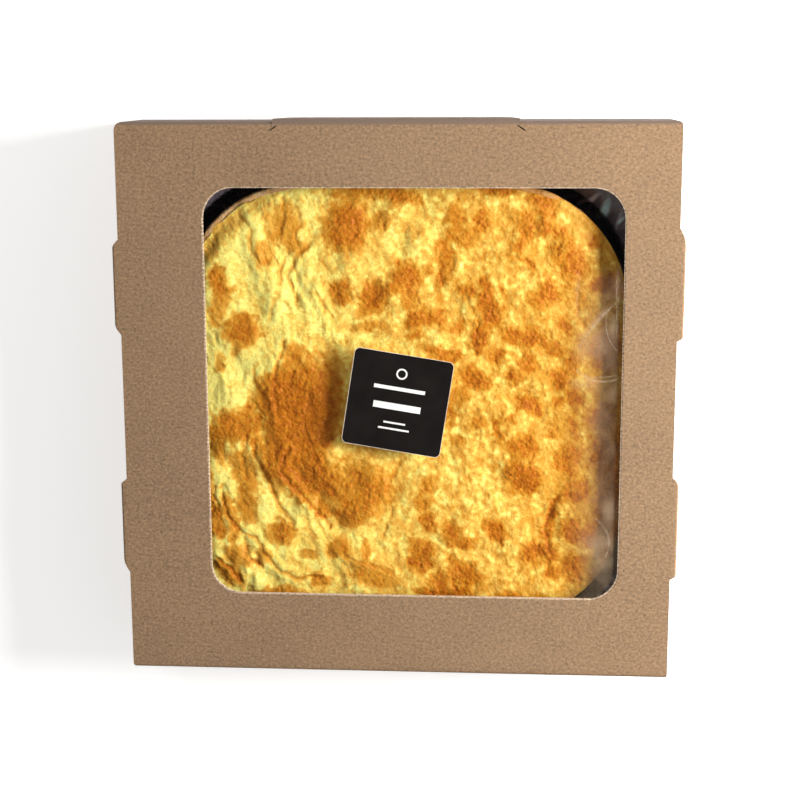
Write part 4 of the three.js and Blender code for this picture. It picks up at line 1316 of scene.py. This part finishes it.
class QUICHEBOX_OT_stage(bpy.types.Operator):
    """Make the floor, the soft lights and the camera"""
    bl_idname = "quichebox.stage"
    bl_label = "Stage"

    def execute(self, context):
        stage = context.scene.stage_settings
        floor = add_primitive(
            "floor", bpy.ops.mesh.primitive_plane_add, size=6, location=(0, 0, -0.0002))
        material, tree, shader = new_material("pale_floor")
        set_inputs(tree, shader, {
            "Base Color": (0.80, 0.80, 0.80, 1), "Roughness": 0.9,
            "Emission Color": (1, 1, 1, 1), "Emission Strength": 0.52})
        dress(floor, material)
        self.add_light("window_light", (0.84, 0.14, 0.42), 0.40, 26.9, (1.0, 0.985, 0.96))
        self.add_light("sky_light", (-0.44, 0.68, 0.46), 0.5, 1.2, (1.0, 0.98, 0.95))
        world = context.scene.world or bpy.data.worlds.new("room")
        context.scene.world = world
        world.use_nodes = True
        # The room is dim straight above, where the camera is, and pale towards the walls
        room = world.node_tree
        look = add_node(room, "ShaderNodeTexCoord").outputs["Generated"]
        pale = colour_ramp(room, axis_of(room, look, "Z"), (
            (0.0, (0.66, 0.65, 0.63)), (0.6, (0.53, 0.52, 0.50)), (0.86, (0.23, 0.225, 0.22)),
            (0.97, (0.08, 0.08, 0.08))))
        set_inputs(room, room.nodes["Background"], {"Color": pale, "Strength": 1.0})
        self.add_camera(context, stage)
        context.scene.view_settings.view_transform = "Standard"
        return {"FINISHED"}

    @staticmethod
    def add_light(name, place, size, power, tint):
        bpy.ops.object.light_add(type="AREA", location=place)
        light = bpy.context.object
        light.name = name
        light.data.shape = "SQUARE"
        light.data.size = size
        light.data.energy = power
        light.data.color = tint
        aim = Vector((0, 0, 0.04)) - Vector(place)
        light.rotation_euler = aim.to_track_quat("-Z", "Y").to_euler()

    @staticmethod
    def add_camera(context, stage):
        turn_x, turn_y, turn_z = stage.camera_turn
        to_camera = (Matrix.Rotation(turn_z, 3, "Z") @ Matrix.Rotation(turn_y, 3, "Y")
                     @ Matrix.Rotation(turn_x, 3, "X"))
        bpy.ops.object.camera_add(
            location=Vector(stage.camera_place) + Vector((0, LID_SHIFT * MM, 0)))
        camera = bpy.context.object
        camera.rotation_euler = to_camera.transposed().to_euler()
        camera.data.lens = stage.lens
        camera.data.sensor_width = 36
        camera.data.clip_start = 0.05
        context.scene.camera = camera


def kraft_of(context):
    return bpy.data.materials.get("kraft_liner") or kraft_material(context.scene.box_settings)


def cut_edge_of(context):
    return bpy.data.materials.get("cut_board_edge") or cut_edge_material(context.scene.box_settings)


class QUICHEBOX_PT_pieces(bpy.types.Panel):
    """Pieces of the quiche box"""
    bl_label = "Quiche box"
    bl_idname = "QUICHEBOX_PT_pieces"
    bl_space_type = "VIEW_3D"
    bl_region_type = "UI"
    bl_category = "Quiche box"

    def draw(self, context):
        for operator in OPERATORS:
            self.layout.operator(operator.bl_idname)
        for settings in (context.scene.box_settings, context.scene.food_settings,
                         context.scene.stage_settings):
            for key in settings.bl_rna.properties.keys():
                if key not in ("rna_type", "name"):
                    self.layout.prop(settings, key)


OPERATORS = (
    QUICHEBOX_OT_walls, QUICHEBOX_OT_lid, QUICHEBOX_OT_ears, QUICHEBOX_OT_closing_flap,
    QUICHEBOX_OT_film, QUICHEBOX_OT_label, QUICHEBOX_OT_tray, QUICHEBOX_OT_pastry,
    QUICHEBOX_OT_custard, QUICHEBOX_OT_stage,
)
SETTINGS = (BoxSettings, FoodSettings, StageSettings)


def register():
    for group in (*SETTINGS, *OPERATORS, QUICHEBOX_PT_pieces):
        bpy.utils.register_class(group)
    bpy.types.Scene.box_settings = bpy.props.PointerProperty(type=BoxSettings)
    bpy.types.Scene.food_settings = bpy.props.PointerProperty(type=FoodSettings)
    bpy.types.Scene.stage_settings = bpy.props.PointerProperty(type=StageSettings)


def unregister():
    del bpy.types.Scene.box_settings
    del bpy.types.Scene.food_settings
    del bpy.types.Scene.stage_settings
    for group in reversed((*SETTINGS, *OPERATORS, QUICHEBOX_PT_pieces)):
        bpy.utils.unregister_class(group)


def main():
    register()
    bpy.ops.quichebox.walls()
    bpy.ops.quichebox.lid()
    bpy.ops.quichebox.ears()
    bpy.ops.quichebox.closing_flap()
    bpy.ops.quichebox.film()
    bpy.ops.quichebox.label()
    bpy.ops.quichebox.tray()
    bpy.ops.quichebox.pastry()
    bpy.ops.quichebox.custard()
    bpy.ops.quichebox.stage()


if __name__ == "__main__":
    main()
